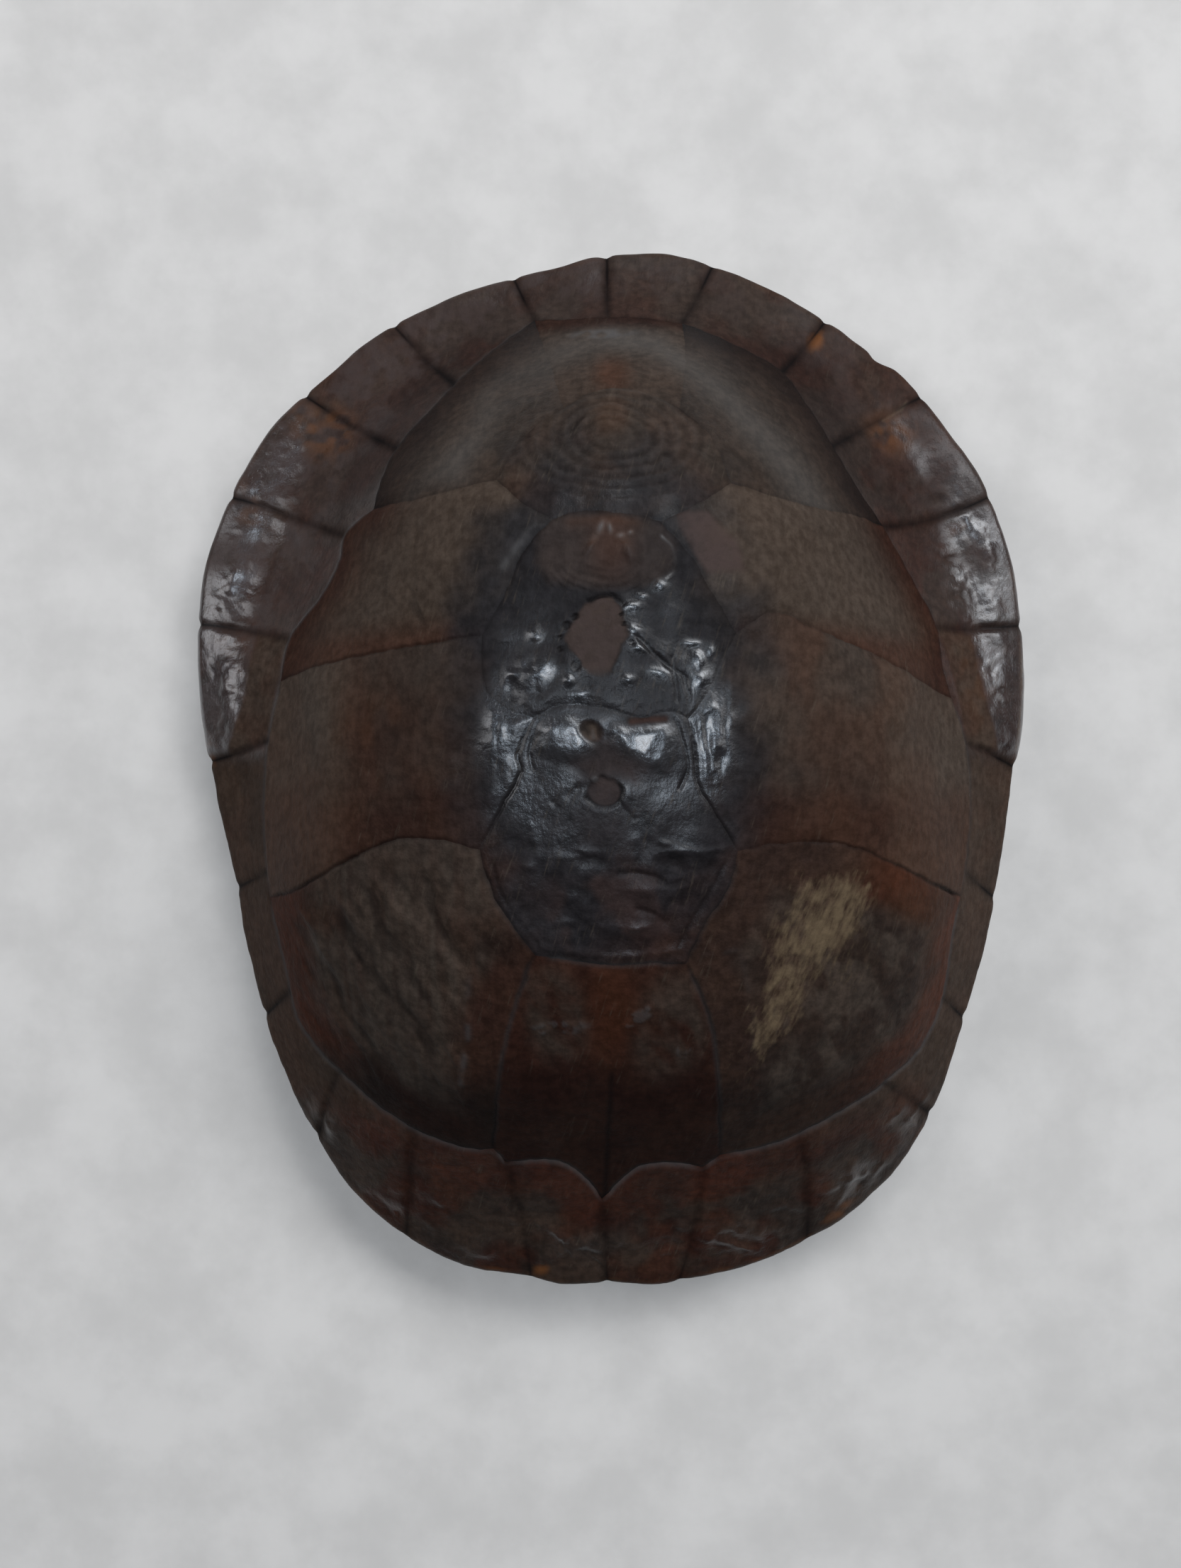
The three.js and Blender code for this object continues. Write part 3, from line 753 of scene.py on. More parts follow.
def vertebral_2(x, y, edge):
    """Blistered and glossy: two shining plates at the back with double furrows beside them, a rough pit and
    a matt hollow between them, an oval where the top layer is gone with a crack round it, a ridge across
    the middle with painted shade under it, and soft folds in front of it."""
    lift = 0.22 * rough(x, y, 10, 51, 2) + 0.07 * rough(x, y, 3.4, 52, 2) + 0.012 * rough(x, y, 1.1, 53)
    left_plate = patch(x, y, [(-12.8, 4.8), (-11.0, 6.2), (-8.6, 6.6), (-5.8, 5.8), (-4.6, 3.6), (-4.2, 1.4),
                              (-6.6, 0.0), (-9.6, 0.2), (-12.6, 1.4)], 3.2)
    right_plate = patch(x, y, [(-0.8, 4.6), (2.6, 4.8), (8.4, 5.6), (9.4, 3.8), (9.0, 0.2), (7.6, -1.8),
                               (4.8, -1.4), (1.6, 0.6), (-0.4, 2.0)], 3.2)
    plates = np.maximum(left_plate, right_plate)
    creases = 1 - 2 * np.abs(bumps(x, y * 0.35, 3.6, 50))
    lift = lift * (1 - 0.5 * plates) + 0.60 * plates
    lift = lift + 0.07 * plates * creases + 0.03 * plates * bumps(x, y * 0.6, 1.3, 49)
    valley = patch(x, y, [(-3.8, 3.4), (-1.4, 3.2), (1.4, 0.4), (4.0, -1.8), (3.2, -4.4), (-1.6, -3.6),
                          (-5.2, -3.8), (-7.4, -1.4), (-4.6, 0.6)], 4.4)
    lift -= 0.30 * valley
    brown_top = stroke(x, y, [(2.4, 5.9), (5.0, 6.2), (8.0, 6.3)], 0.7)
    beside_plates = strokes_of(x, y, [
        ([(9.6, 7.5), (10.3, 4.9), (11.4, 1.7), (12.1, -1.1), (11.8, -2.9), (10.6, -5.4)], 0.32),
        ([(-12.4, 8.1), (-13.6, 5.6), (-14.3, 3.0), (-14.9, 0.9), (-14.4, -2.1)], 0.32)])
    further_on = strokes_of(x, y, [
        ([(-21.4, -18.2), (-20.3, -22.6), (-18.4, -26.6), (-16.2, -29.6), (-14.0, -32.2)], 0.45),
        ([(18.6, -18.0), (16.9, -21.6), (15.0, -25.0), (12.5, -29.4), (10.9, -33.0)], 0.45)])
    doubles = np.maximum(beside_plates, 0.8 * further_on)
    lift -= 0.30 * doubles
    pit = spot(x, y, (-4.5, 4.3), (1.9, 1.5), -0.6, 0.8)
    crumbs = bumps(x, y, 0.9, 54)
    wavy = 1 + 0.12 * bumps(x, y, 1.6, 54)
    oval = spot((x + 2.0) * wavy, (y + 6.0) * wavy, (0, 0), (2.9, 2.3), 0.0, 0.3)
    ring = np.exp(-((np.hypot((x + 2.0) / 3.15, (y + 6.0) / 2.55) * wavy - 1) / 0.12) ** 2)
    ring *= smooth(0.75 + 0.9 * bumps(x, y, 2.2, 55) - 0.8 * spot(x, y, (-4.6, -4.2), (1.8, 1.6)))
    chip = spot(x, y, (-3.8, -3.8), (0.6, 0.5), 0.0, 0.8)
    trench = stroke(x, y, [(-4.6, -5.0), (-6.3, -5.2), (-8.7, -7.1), (-11.4, -8.4)], 0.9)
    trench = trench * smooth(0.8 + 0.8 * bumps(x, y, 1.8, 60))
    crack = stroke(x, y, [(0.4, -7.8), (1.2, -8.8), (2.8, -10.4)], 0.5) * smooth(0.8 + bumps(x, y, 1.5, 60))
    calm = patch(x, y, [(-6.4, -9.4), (1.2, -9.0), (2.4, -12), (2.0, -15.0), (-6.6, -15.2)], 4.5)
    lift = (lift * (1 - 0.85 * oval) * (1 - 0.4 * calm)
            - 0.25 * oval - 0.32 * ring - 0.24 * trench - 0.20 * crack)
    lift += pit * (0.25 * crumbs - 0.35) + 0.25 * chip
    ridge = stroke(x, y, [(7.6, -14.4), (10.2, -15.2), (13.9, -16.0), (18.4, -15.6)], 0.55)
    ridge = np.maximum(ridge, 0.7 * stroke(x, y, [(-6.3, -15.4), (-4.4, -15.9), (-2.4, -16.0)], 0.7))
    shade_under_ridge = np.maximum(spot(x, y, (12.5, -18.2), (5.0, 1.4), -0.1, 1.0),
                       0.6 * spot(x, y, (-4.2, -17.8), (3.0, 0.9), 0, 1))
    lift += (0.34 * ridge - 0.34 * shade_under_ridge) * smooth(0.85 + 0.7 * bumps(x, y, 2.6, 67))
    back_ridge = stroke(x, y, [(-13, -33.0), (-8, -33.9), (0, -34.9), (8, -34.0), (11, -33.2)], 0.8)
    lift += 0.35 * back_ridge * smooth(0.6 + bumps(x, y, 4, 57))
    front = smooth((-8 - y + 1.5 * bumps(x, y, 5, 57)) / 9)
    folds = 1 - 2 * np.abs(bumps(x + 0.4 * y, y - 0.3 * x, 7, 58))
    blisters = mounds_of(x, y, [((5.6, -22.9), (3.0, 1.5), -0.1), ((9.2, -23.6), (1.1, 0.8), 0.5),
                                ((-7.8, -24.2), (1.4, 1.0), 0.4), ((-9.0, -28.6), (1.8, 0.8), 0.2),
                                ((-14.8, -18.6), (1.2, 1.0), 0.0), ((3.0, -29.6), (2.4, 0.8), 0.3)])
    gullies = strokes_of(x, y, [
        ([(0.4, -19.9), (3.6, -19.8), (6.5, -20.4), (8.8, -22.0), (11.4, -21.2)], 0.55),
        ([(3.6, -26.2), (6.4, -26.8), (8.2, -28.4)], 0.6)])
    lift += front * (0.30 * folds + 0.10 * bumps(x, y, 2.0, 56) + 0.30 * blisters - 0.32 * gullies)
    reds = smooth(0.35 + 1.3 * rough(x, y, 8, 59)) * spot(x, y, (-1, -26), (11, 9), 0, 1.4)
    wine = spot(x, y, (3.6, -2.4), (2.6, 3.4), 0.1, 1.0)
    glossy = (0.40 + 0.14 * bumps(x, y, 4.5, 59) + 0.24 * crown_shine(x, y) * (1 - 0.45 * front)
              + 0.44 * plates + 0.18 * front * (blisters + 0.6 * ridge))
    matt = ((1 - 0.5 * valley) * (1 - 0.85 * oval) * (1 - 0.35 * calm) * (1 - 0.8 * pit)
            * (1 - 0.7 * brown_top))
    slate = BACK_SLATE * dark_back(x, y) * (1 - 0.35 * reds) * (1 - 0.2 * valley) * (1 - 0.6 * brown_top)
    marks = {"red": 0.15 + 0.30 * reds + 0.15 * valley + 0.2 * wine + 0.5 * brown_top + 0.3 * trench,
             "bare": 0.55 * oval + 0.10 * calm + 0.10 * wine + 0.26 * reds + 0.16 * valley,
             "olive": 0.25 * (1 - front) + 0.4 * pit + 0.3 * oval,
             "slate": slate * (1 - pit),
             # The pale on the plates is a painted highlight where their tops shine.
             "pale": 0.4 * chip + 0.14 * plates + 0.25 * pit * smooth(crumbs * 2 - 0.4),
             # The dark under the ridge across the middle is painted shade.
             "dark": 0.9 * ring + 0.35 * trench + 0.45 * crack + 0.45 * doubles + 0.35 * shade_under_ridge
             + 0.6 * pit * smooth(0.2 - crumbs * 2) + 0.3 * gullies * front,
             "gloss": glossy * matt}
    return lift, marks


def vertebral_3(x, y, edge):
    """A raised old centre at the back with a knob and ridges that fan from it, painted highlights on their
    tops and along the centre's right border, a large bare patch under an arched crack in the middle, and
    glossy pitted horn at the sides and in front."""
    lift = 0.28 * rough(x, y, 8, 61, 2) + 0.10 * rough(x, y, 2.8, 62, 2) * smooth((34 - y) / 6)
    centre = patch(x, y, [(-13.6, 41.4), (-13.8, 33), (-11.5, 29.6), (-3, 28.4), (6.5, 29.2), (9.4, 31.8),
                          (9.9, 36.4), (7.9, 39.4), (0, 41.4)], 2.6)
    border = stroke(x, y, [(7.6, 37.4), (9.1, 36.0), (9.9, 33.6), (9.5, 31.2), (8.3, 30.1)], 0.30)
    border = border * smooth(0.55 + 0.8 * bumps(x, y, 2.2, 60) + 0.5 * smooth((33 - y) / 3))
    spokes = mounds_of(x, y, [((-2.8, 39.0), (1.3, 0.55), 1.2), ((-1.2, 38.8), (1.0, 0.40), 1.7),
                              ((0.5, 37.3), (0.8, 0.60), 0.4), ((2.2, 37.9), (0.5, 0.35), 0.8),
                              ((-4.6, 35.4), (2.2, 0.60), 1.1), ((2.0, 34.4), (2.4, 0.80), -1.2)])
    lift += 0.30 * centre + 0.22 * border + 0.45 * spokes
    arcs = np.cos(2 * np.pi * (np.hypot(x + 2, (y - 41) * 0.9) / 1.15 + 0.4 * bumps(x, y, 4, 63)))
    rippled = spot(x, y, (-3.0, 30.2), (10.5, 2.6), 0.0, 1.2)
    lift += 0.07 * arcs * rippled
    ragged = bumps(x, y, 1.5, 64)
    corners = [(-4.8, 26.3), (-2.8, 26.9), (-0.8, 26.8), (0.6, 24.9), (1.4, 22.9), (1.9, 20.8), (0.5, 19.3),
               (-0.2, 16.3), (-0.8, 14.2), (-2.8, 13.2), (-5.2, 14.0), (-6.3, 16.5), (-7.8, 18.0),
               (-8.7, 19.8), (-7.8, 21.9), (-6.3, 24.6)]
    bare = patch(x + 0.45 * ragged, y + 0.45 * bumps(x, y, 1.4, 65), corners, 0.9) * smooth((y - 12.6) / 3.2)
    arch = stroke(x, y, [(-4.9, 26.4), (-3.6, 26.9), (-2.2, 27.2), (-0.7, 27.3), (0.3, 26.6),
                         (1.1, 25.8)], 0.30)
    pricks = [((-7.1, 23.7), 0.65), ((-8.6, 22.2), 0.80), ((-9.6, 20.2), 0.45), ((-9.7, 18.2), 0.55),
              ((-6.9, 15.4), 0.95), ((1.1, 22.4), 0.45), ((2.4, 19.2), 0.5), ((0.6, 24.0), 0.35)]
    holes = spots_of(x, y, [(centre, (half, half * 0.85), 0.6) for centre, half in pricks], 0.8)
    lift = lift * (1 - 0.8 * bare) - 0.20 * bare - 0.42 * arch - 0.30 * holes
    swirl = stroke(x, y, [(3.6, 20.1), (5.9, 17.7), (8.6, 15.4), (11.3, 13.7), (12.2, 10.1),
                          (12.0, 7.2)], 0.45)
    inner_swirl = stroke(x, y, [(9.4, 16.8), (9.8, 13.2), (10.2, 9.6)], 0.4)
    lift -= 0.35 * np.maximum(swirl, inner_swirl)
    blisters = mounds_of(x, y, [((7.4, 14.2), (2.0, 1.0), -0.2), ((3.7, 18.3), (1.2, 0.8), -0.3),
                                ((1.8, 13.0), (1.0, 0.8), 0.0), ((2.4, 25.5), (1.4, 0.9), 0.1),
                                ((4.1, 27.2), (1.2, 0.5), -0.2), ((7.2, 29.0), (1.4, 1.0), 0.3),
                                ((2.8, 21.4), (1.0, 0.8), 0.0), ((12.8, 19.3), (1.4, 0.6), 0.0),
                                ((13.8, 16.8), (0.9, 1.4), 0.0), ((16.0, 17.8), (0.9, 1.3), 0.0),
                                ((14.2, 12.7), (1.6, 1.2), 0.3), ((-6.6, 9.9), (1.6, 1.1), 0.6),
                                ((-8.1, 12.8), (0.9, 1.0), 0.0), ((-17.6, 14.0), (1.0, 0.7), 0.0),
                                ((-12.6, 14.6), (2.6, 1.8), 0.2), ((-14.0, 20.6), (1.4, 1.4), 0.4)])
    lower = smooth((30 - y) / 5) * (1 - bare)
    pimples = rough(x + 0.5 * y, y - 0.5 * x, 2.8, 70)
    sides = np.maximum(mound(x, y, (-17.5, 11.0), (4.6, 8)), mound(x, y, (14.8, 14.0), (3.5, 8)))
    wrinkles = bumps(x, y * 0.3, 1.2, 69)
    lift += (0.36 * blisters + 0.11 * pimples * lower
             + sides * (0.14 * wrinkles + 0.10 * rough(x, y, 2.4, 66)))
    fan = spot(x, y, (-0.8, 36.0), (3.4, 5.4), 0.0, 1.8) * centre
    top_edge = stroke(x, y, [(-7.6, 40.2), (-3.0, 41.0), (3.0, 40.6)], 1.4) * centre
    glossy = 0.25 + 0.50 * blisters + 0.25 * crown_shine(x, y) + 0.20 * sides
    marks = {"red": 0.30 * fan + 0.30 * top_edge + 0.30 * smooth((-8 - x) / 5) * smooth((26 - y) / 5),
             "bare": 0.8 * bare + 0.24 * centre,
             "amber": 0.06 * fan + 0.05 * top_edge + 0.25 * spokes * smooth((y - 35) / 3),
             # The pale on the spokes and the pale and tan on the border are painted highlights.
             "pale": 0.85 * spokes * smooth((y - 36) / 2) + 0.9 * border, "tan": 0.45 * border,
             "olive": 0.45 * centre * (1 - 0.8 * fan) + 0.4 * (1 - centre),
             "slate": BACK_SLATE * dark_back(x, y) * (1 - bare) * (1 - 0.45 * centre),
             "dark": 0.9 * arch + 0.75 * holes + 0.4 * swirl + 0.15 * (1 - centre) * (1 - bare)
             + 0.04 * centre * (1 - fan),
             "gloss": glossy * (1 - 0.6 * bare) * (1 - 0.35 * centre)
             + 0.25 * spokes + 0.25 * border + 0.08 * rippled + 0.06 * bumps(x, y, 4, 68)}
    return lift, marks


def vertebral_4(x, y, edge):
    """Dull grey olive with oval growth rings round an orange brown centre and small dark scars."""
    oval = np.hypot((x + 0.6) / 13.5, (y - 57.0) / 9.5)
    rings = 0.09 * np.sin(2 * np.pi * (oval * 5 + 0.35 * bumps(x, y, 6, 71)))
    rings = rings * smooth(oval * 2) * smooth((1.6 - oval) * 2)
    lift = 0.3 * rough(x, y, 8, 72, 2) + rings + 0.09 * rough(x, y, 2.4, 73)
    centre = spot(x, y, (-0.6, 61.0), (3.0, 3.6), 0.0, 1.1)
    scars = spots_of(x, y, [((-15.2, 58.2), (2.6, 1.0), 0.5), ((9.0, 52.8), (0.9, 0.8), 0),
                            ((13.6, 61.6), (3.0, 1.0), -0.5), ((-7.6, 59.5), (3.0, 0.7), 0.9)], 0.9)
    lift -= 0.25 * scars
    front = smooth((53 - y) / 8)
    lumps = front * smooth(0.2 + 1.2 * bumps(x, y, 4.5, 76))
    lift += 0.10 * front * rough(x, y, 3.4, 74) + 0.25 * lumps
    marks = {"olive": 0.50 * (1 - 0.5 * front), "red": 0.2 * smooth(0.2 + rough(x, y, 6, 75)),
             "amber": 0.07 * centre, "slate": BACK_SLATE * dark_back(x, y),
             "dark": 0.3 * scars + 0.22 * smooth(-rings * 12), "pale": 0.07 * smooth(rings * 8),
             "gloss": 0.29 + 0.04 * front + 0.14 * lumps}
    return lift, marks


def vertebral_5(x, y, edge):
    """Slopes down to the tail. Arched growth lines cross it, with an orange blotch at the front, painted
    light along the band over the rump, and a pale bar near the tail that is partly wear and partly a painted
    highlight."""
    arch = y - 0.018 * (x + 1) ** 2
    rings = 0.02 * np.sin(2 * np.pi * (arch / 2.3 + 0.3 * bumps(x, y, 5, 81)))
    lift = 0.25 * rough(x, y, 9, 82) + rings + 0.04 * rough(x, y, 2, 83)
    blotch = spot(x, y, (-0.5, 71.5), (3.2, 5.0), 0.0, 1.4)
    bar = spot(x, y, (-2.5, 86.0), (6.2, 1.4), 0.0, 1.0) * smooth(0.6 + bumps(x, y, 2, 84))
    band = lit_rump_band(x, y)
    rear = smooth((y - 86) / 5)
    # The olive and pale that follow the rump band are painted light; the bar's pale and tan are partly wear
    # and partly a painted highlight.
    marks = {"olive": (0.55 + 0.45 * band) * (1 - 0.6 * blotch) * (1 - 0.8 * rear),
             "red": 0.15 + 0.25 * blotch + 0.3 * rear, "amber": 0.06 * blotch,
             "pale": 0.30 * band + 0.45 * bar, "tan": 0.3 * bar, "dark": 0.40 * rear, "gloss": 0.22}
    return lift, marks


scute("vertebral_1", ["v1_m1_left", "v1_m2_left", "v1_c1_left", "v1_v2", "-v1_c1_right", "-v1_m2_right",
                      "-v1_m1_right"], (-1.4, -60), 80, vertebral_1)
scute("vertebral_2", ["v2_c1_left", "v2_c2_left", "v2_v3", "-v2_c2_right", "-v2_c1_right", "-v1_v2"],
      (-1.4, -15), 72, vertebral_2)
scute("vertebral_3", ["v3_c2_left", "v3_c3_left", "v3_v4", "-v3_c3_right", "-v3_c2_right", "-v2_v3"],
      (-1.4, 23), 66, vertebral_3)
scute("vertebral_4", ["v4_c3_left", "v4_c4_left", "v4_v5", "-v4_c4_right", "-v4_c3_right", "-v3_v4"],
      (-0.6, 53.5), 50, vertebral_4)
scute("vertebral_5", ["v5_c4_left", "-v5_m12_left", "v5_m12_right", "-v5_c4_right", "-v4_v5"],
      (-1, 79), 50, vertebral_5)


# THE COSTAL SCUTES. Four large plates on each side, from the middle row down to the rim's plates. They
# are satin, with fine streaks and growth lines, and redder at their outer edges.
def streaks_along(x, y, seed):
    """Fine streaks that run along the body: two layers of bumps, each drawn out lengthwise."""
    return bumps(x, y * 0.09, 0.9, seed + 2) + 0.7 * bumps(x + 0.05 * y, y * 0.13, 1.7, seed + 3)


def costal_base(x, y, edge, seed):
    """What all of them share: broad hollows, growth lines that follow the edge, and fine streaks."""
    lines = np.sin(2 * np.pi * (edge / 1.5 + 0.5 * bumps(x, y, 7, seed)))
    lift = 0.30 * rough(x, y, 14, seed + 1) + 0.008 * lines * smooth(edge / 1.5) * smooth((11 - edge) / 5)
    return lift + 0.03 * streaks_along(x, y, seed) + 0.02 * rough(x, y, 1.8, seed + 4)


def outer_edge(x, y, row, side, width):
    """1 along a costal's seam with the marginals, falling away over its width."""
    line = seam_lines["c%d_rim_%s" % (row, "right" if side > 0 else "left")][::3, :2]
    return np.exp(-(distance_to(x, y, line) / width) ** 2)


def costal_1_left(x, y, edge):
    """Scoured olive in the middle with long wavy ridges, and a smooth red border."""
    lift = costal_base(x, y, edge, 101)
    top = smooth((y + 34) / 10) * smooth((x + 62) / 10)
    border = (1 - smooth((edge + 1.5 * bumps(x, y * 0.5, 4, 105) - 5) / 6.5)) * (1 - 0.9 * top)
    drift = x + 0.42 * y + 2.5 * np.sin((y + 40) / 11) + 1.6 * bumps(x, y, 9, 106)
    waves = bumps(drift, y * 0.22, 3.6, 107) + 0.5 * bumps(drift, y * 0.3, 1.7, 108)
    lift += 0.36 * waves * smooth((edge - 2) / 5)
    furrows = smooth((-waves - 0.2) / 0.7) * smooth((edge - 3) / 5) * smooth((y + 62) / 10)
    inner = stroke(x, y, [(-26.1, -38), (-26.5, -50), (-28.5, -60)], 0.6)
    inner = inner * smooth(0.5 + bumps(x, y, 2.5, 109))
    lift += 0.15 * inner
    outer = smooth((-46 - x) / 10) * smooth((y + 60) / 8)
    marks = {"red": (0.35 + 0.5 * outer) * border * smooth(0.8 + bumps(x, y, 8, 110)) + 0.1,
             "olive": (0.54 + 0.15 * streaks_along(x, y, 101)) * (1 - border) + 0.12 * border * (1 - outer),
             "amber": 0.03 * border * outer,
             # The dark that grows towards the head end is painted shade on the slope turned away from the
             # light.
             "dark": 0.46 * furrows + 0.45 * smooth((-54 - y) / 12) + 0.25 * border,
             "pale": 0.4 * inner, "gloss": 0.30 - 0.06 * border}
    return lift, marks


def costal_1_right(x, y, edge):
    """A large patch is worn through to tan in slanting strokes; the outer border is red brown."""
    lift = costal_base(x, y, edge, 121)
    border = 1 - smooth((edge - 6) / 5)
    ragged = 2.2 * rough(x, y, 5, 126)
    mottle = smooth(0.5 + 0.9 * rough(x + 0.4 * y, y * 0.7, 3.2, 119)) * (1 - border)
    corners = [(31, -21), (38, -19.5), (43.5, -20), (44.5, -26), (41, -32.5), (36.5, -35.5), (34, -41.5),
               (31.5, -48.5), (27, -53.5), (24.2, -50), (25.5, -42), (26.5, -35), (28.2, -28)]
    worn = patch(x + ragged, y + ragged, corners, 7)
    along = 0.35 * x + 0.94 * y
    across = 0.94 * x - 0.35 * y
    strokes = bumps(across, along * 0.40, 1.0, 127) + 0.7 * bumps(across, along * 0.5, 0.55, 128)
    faded = 0.30 * spot(x, y, (42, -36), (7, 10), 0.3, 1.2) + 0.26 * spot(x, y, (24, -56), (4, 8), 0.0, 1.2)
    wear = np.clip(0.60 * worn + faded + 0.16 * strokes * smooth(2 * (worn + faded)), 0, 1)
    lift += 0.10 * strokes * smooth(2 * worn) - 0.08 * worn
    ring = stroke(x, y, [(15, -34.4), (21.7, -33.6), (23.3, -40.2), (24.7, -45.1), (25.0, -56)], 0.55)
    ring = ring * smooth(0.4 + bumps(x, y, 3, 120))
    lift += 0.1 * ring
    outer = border * smooth((x - 38) / 14) * smooth((y + 56) / 10)
    marks = {"red": 0.7 * border * smooth((x - 38) / 18) * smooth(0.8 + bumps(x, y, 8, 129)) + 0.16,
             "olive": (0.36 + 0.3 * (1 - mottle)) * (1 - border) * (1 - 0.5 * worn)
             + 0.16 * border * (1 - outer),
             "amber": 0.06 * outer, "tan": wear, "pale": 0.10 * ring,
             # The dark that grows towards the head end is painted shade on the slope turned away from the
             # light.
             "dark": 0.4 * smooth((-54 - y) / 12) + 0.28 * mottle * (1 - worn),
             "gloss": 0.30 * (1 - 0.6 * worn)}
    return lift, marks


def costal_2(x, y, edge, side, seed):
    """Brown with orange and olive streaks; beside the middle row it is dark, wrinkled and glossy."""
    lift = costal_base(x, y, edge, seed)
    near_spine = crown_shine(x, y)
    wrinkles = bumps(x, y * 0.16, 1.0, seed + 5)
    lift += near_spine * (0.09 * wrinkles + 0.20 * rough(x, y, 6, seed + 6, 2)
                          + 0.05 * rough(x, y, 1.8, seed + 7, 2))
    warped_x = x * 1.2 + 4 * bumps(x, y, 9, seed + 13)
    warm = smooth(0.5 + 0.45 * rough(warped_x, y * 0.7, 11, seed + 8, 4)) * (1 - near_spine)
    swollen = mound(x, y, (-21.4, 1.0) if side < 0 else (17.2, 2.4), (3.0, 8.5))
    lift += 0.42 * swollen * smooth(0.75 + 0.5 * bumps(x, y, 3, seed + 12))
    low = smooth((-2 - y + 2 * bumps(x, y, 6, seed + 9)) / 8)
    outer = smooth((side * x - 46) / 6)
    if side < 0:
        brown = spot(x, y, (-40, 3), (9, 9), 0.0, 1.2)
        dark = 0.26 * spot(x, y, (-34, 0), (13, 18), 0.0, 1.3)
    else:
        brown = np.zeros_like(x)
        dark = 0.20 * spot(x, y, (31, -6), (12, 10), 0.0, 1.3)
    marks = {"red": (0.14 + 0.20 * low + 0.18 * warm * (1 - low) + 0.12 * brown + 0.12 * outer)
             * (1 - 0.6 * near_spine),
             "olive": (0.47 * (1 - low) * (1 - 0.5 * warm) + 0.13 + 0.28 * outer) * (1 - near_spine)
             * (1 - 0.4 * brown),
             "amber": 0.03 * warm * (1 - dark_back(x, y)) + 0.03 * outer
             + 0.05 * brown * smooth(0.2 + bumps(x, y * 0.6, 3, seed + 11)),
             "slate": BACK_SLATE * dark_back(x, y), "gloss": 0.26 + 0.48 * near_spine + 0.2 * swollen,
             "dark": dark * (1 - near_spine)}
    if side > 0:
        lines = strokes_of(x, y, [([(15.4, 7.8), (16.4, 8.6), (17.4, 7.4), (17.6, 4.0)], 0.42),
                                  ([(14.2, 5.6), (14.6, 1.0), (14.9, -3.4)], 0.42),
                                  ([(19.0, 13.2), (19.3, 8.0), (19.0, 3.6)], 0.42),
                                  ([(16.2, 3.4), (16.4, -2.4)], 0.42)])
        lift += 0.12 * lines
        marks["gloss"] = marks["gloss"] + 0.1 * lines
    return lift, marks


def costal_3(x, y, edge, side, seed):
    """Olive grey with fine lengthwise scratches, and a red band down its outer edge."""
    lift = costal_base(x, y, edge, seed)
    outer = outer_edge(x, y, 3, side, 8)
    lower = smooth((27 - y) / 7)
    scars = smooth((bumps(x + 0.7 * y, (y - 0.7 * x) * 0.22, 1.6, seed + 5) - 0.45) / 0.4)
    torn = mound(x, y, (-31, 26.5), (10, 6), 0.3) if side < 0 else 0.4 * mound(x, y, (27, 27), (6, 6))
    scars = scars * smooth(0.2 + bumps(x, y, 9, seed + 6) + torn)
    lift += torn * 0.20 * bumps(x + 0.8 * y, (y - 0.8 * x) * 0.3, 2.0, seed + 8) - 0.10 * scars
    near_spine = smooth((25 - side * x) / 6)
    lift += near_spine * 0.22 * rough(x, y, 4, seed + 7)
    clear = (1 - dark_back(x, y)) ** 2
    marks = {"red": 0.40 * outer + 0.5 * lower * (1 - outer),
             "olive": (0.60 + 0.2 * clear) * (1 - outer) * (1 - 0.7 * lower),
             "tan": 0.08 * (1 - outer) * clear, "amber": (0.035 - 0.015 * outer) * clear,
             "slate": BACK_SLATE * dark_back(x, y),
             "dark": (0.12 + 0.2 * torn) * scars + 0.15 * torn + 0.18 * outer,
             "gloss": 0.24 + 0.13 * near_spine}
    if side > 0:
        bare = patch(x, y, [(10.2, 42.2), (15.9, 42.4), (17.7, 40.2), (20.8, 37.2), (21.9, 32.0),
                            (15.4, 31.5), (12.8, 35.5), (10.9, 39.3)], 1.5)
        lift = lift * (1 - 0.8 * bare) - 0.12 * bare
        marks["bare"] = bare
        marks["gloss"] = marks["gloss"] * (1 - 0.8 * bare)
    else:
        strip = stroke(x, y, [(-19.4, 32.6), (-17.0, 36.2), (-13.4, 39.6)], 0.8)
        strip = strip * smooth(0.7 + bumps(x, y, 2, 196))
        lift += 0.20 * strip
        marks["pale"] = 0.42 * strip
    return lift, marks


def costal_4(x, y, edge, side, seed):
    """Olive grey, with painted light along the band that arches over the rump, painted shade next to the
    middle row below that band, and painted shade on its steep outer part by the marginals.
    """
    lift = costal_base(x, y, edge, seed)
    band = lit_rump_band(x, y)
    outer = outer_edge(x, y, 4, side, 6.5)
    inner = smooth((30 - side * x) / 12) * (1 - band)
    # The olive and pale of the rump band are painted light; the dark of inner and outer is painted shade.
    marks = {"olive": (0.42 + 0.55 * band) * (1 - 0.5 * outer), "pale": 0.28 * band, "red": 0.25 * outer,
             "slate": BACK_SLATE * dark_back(x, y),
             "dark": 0.07 + 0.05 * side + 0.14 * inner + 0.62 * outer * (1 - 0.7 * band),
             "gloss": 0.24 + 0.15 * inner}
    return lift, marks


def for_side(relief, side, seed):
    """A costal's relief for the left side, -1, or the right, 1."""
    return lambda x, y, edge: relief(x, y, edge, side, seed)


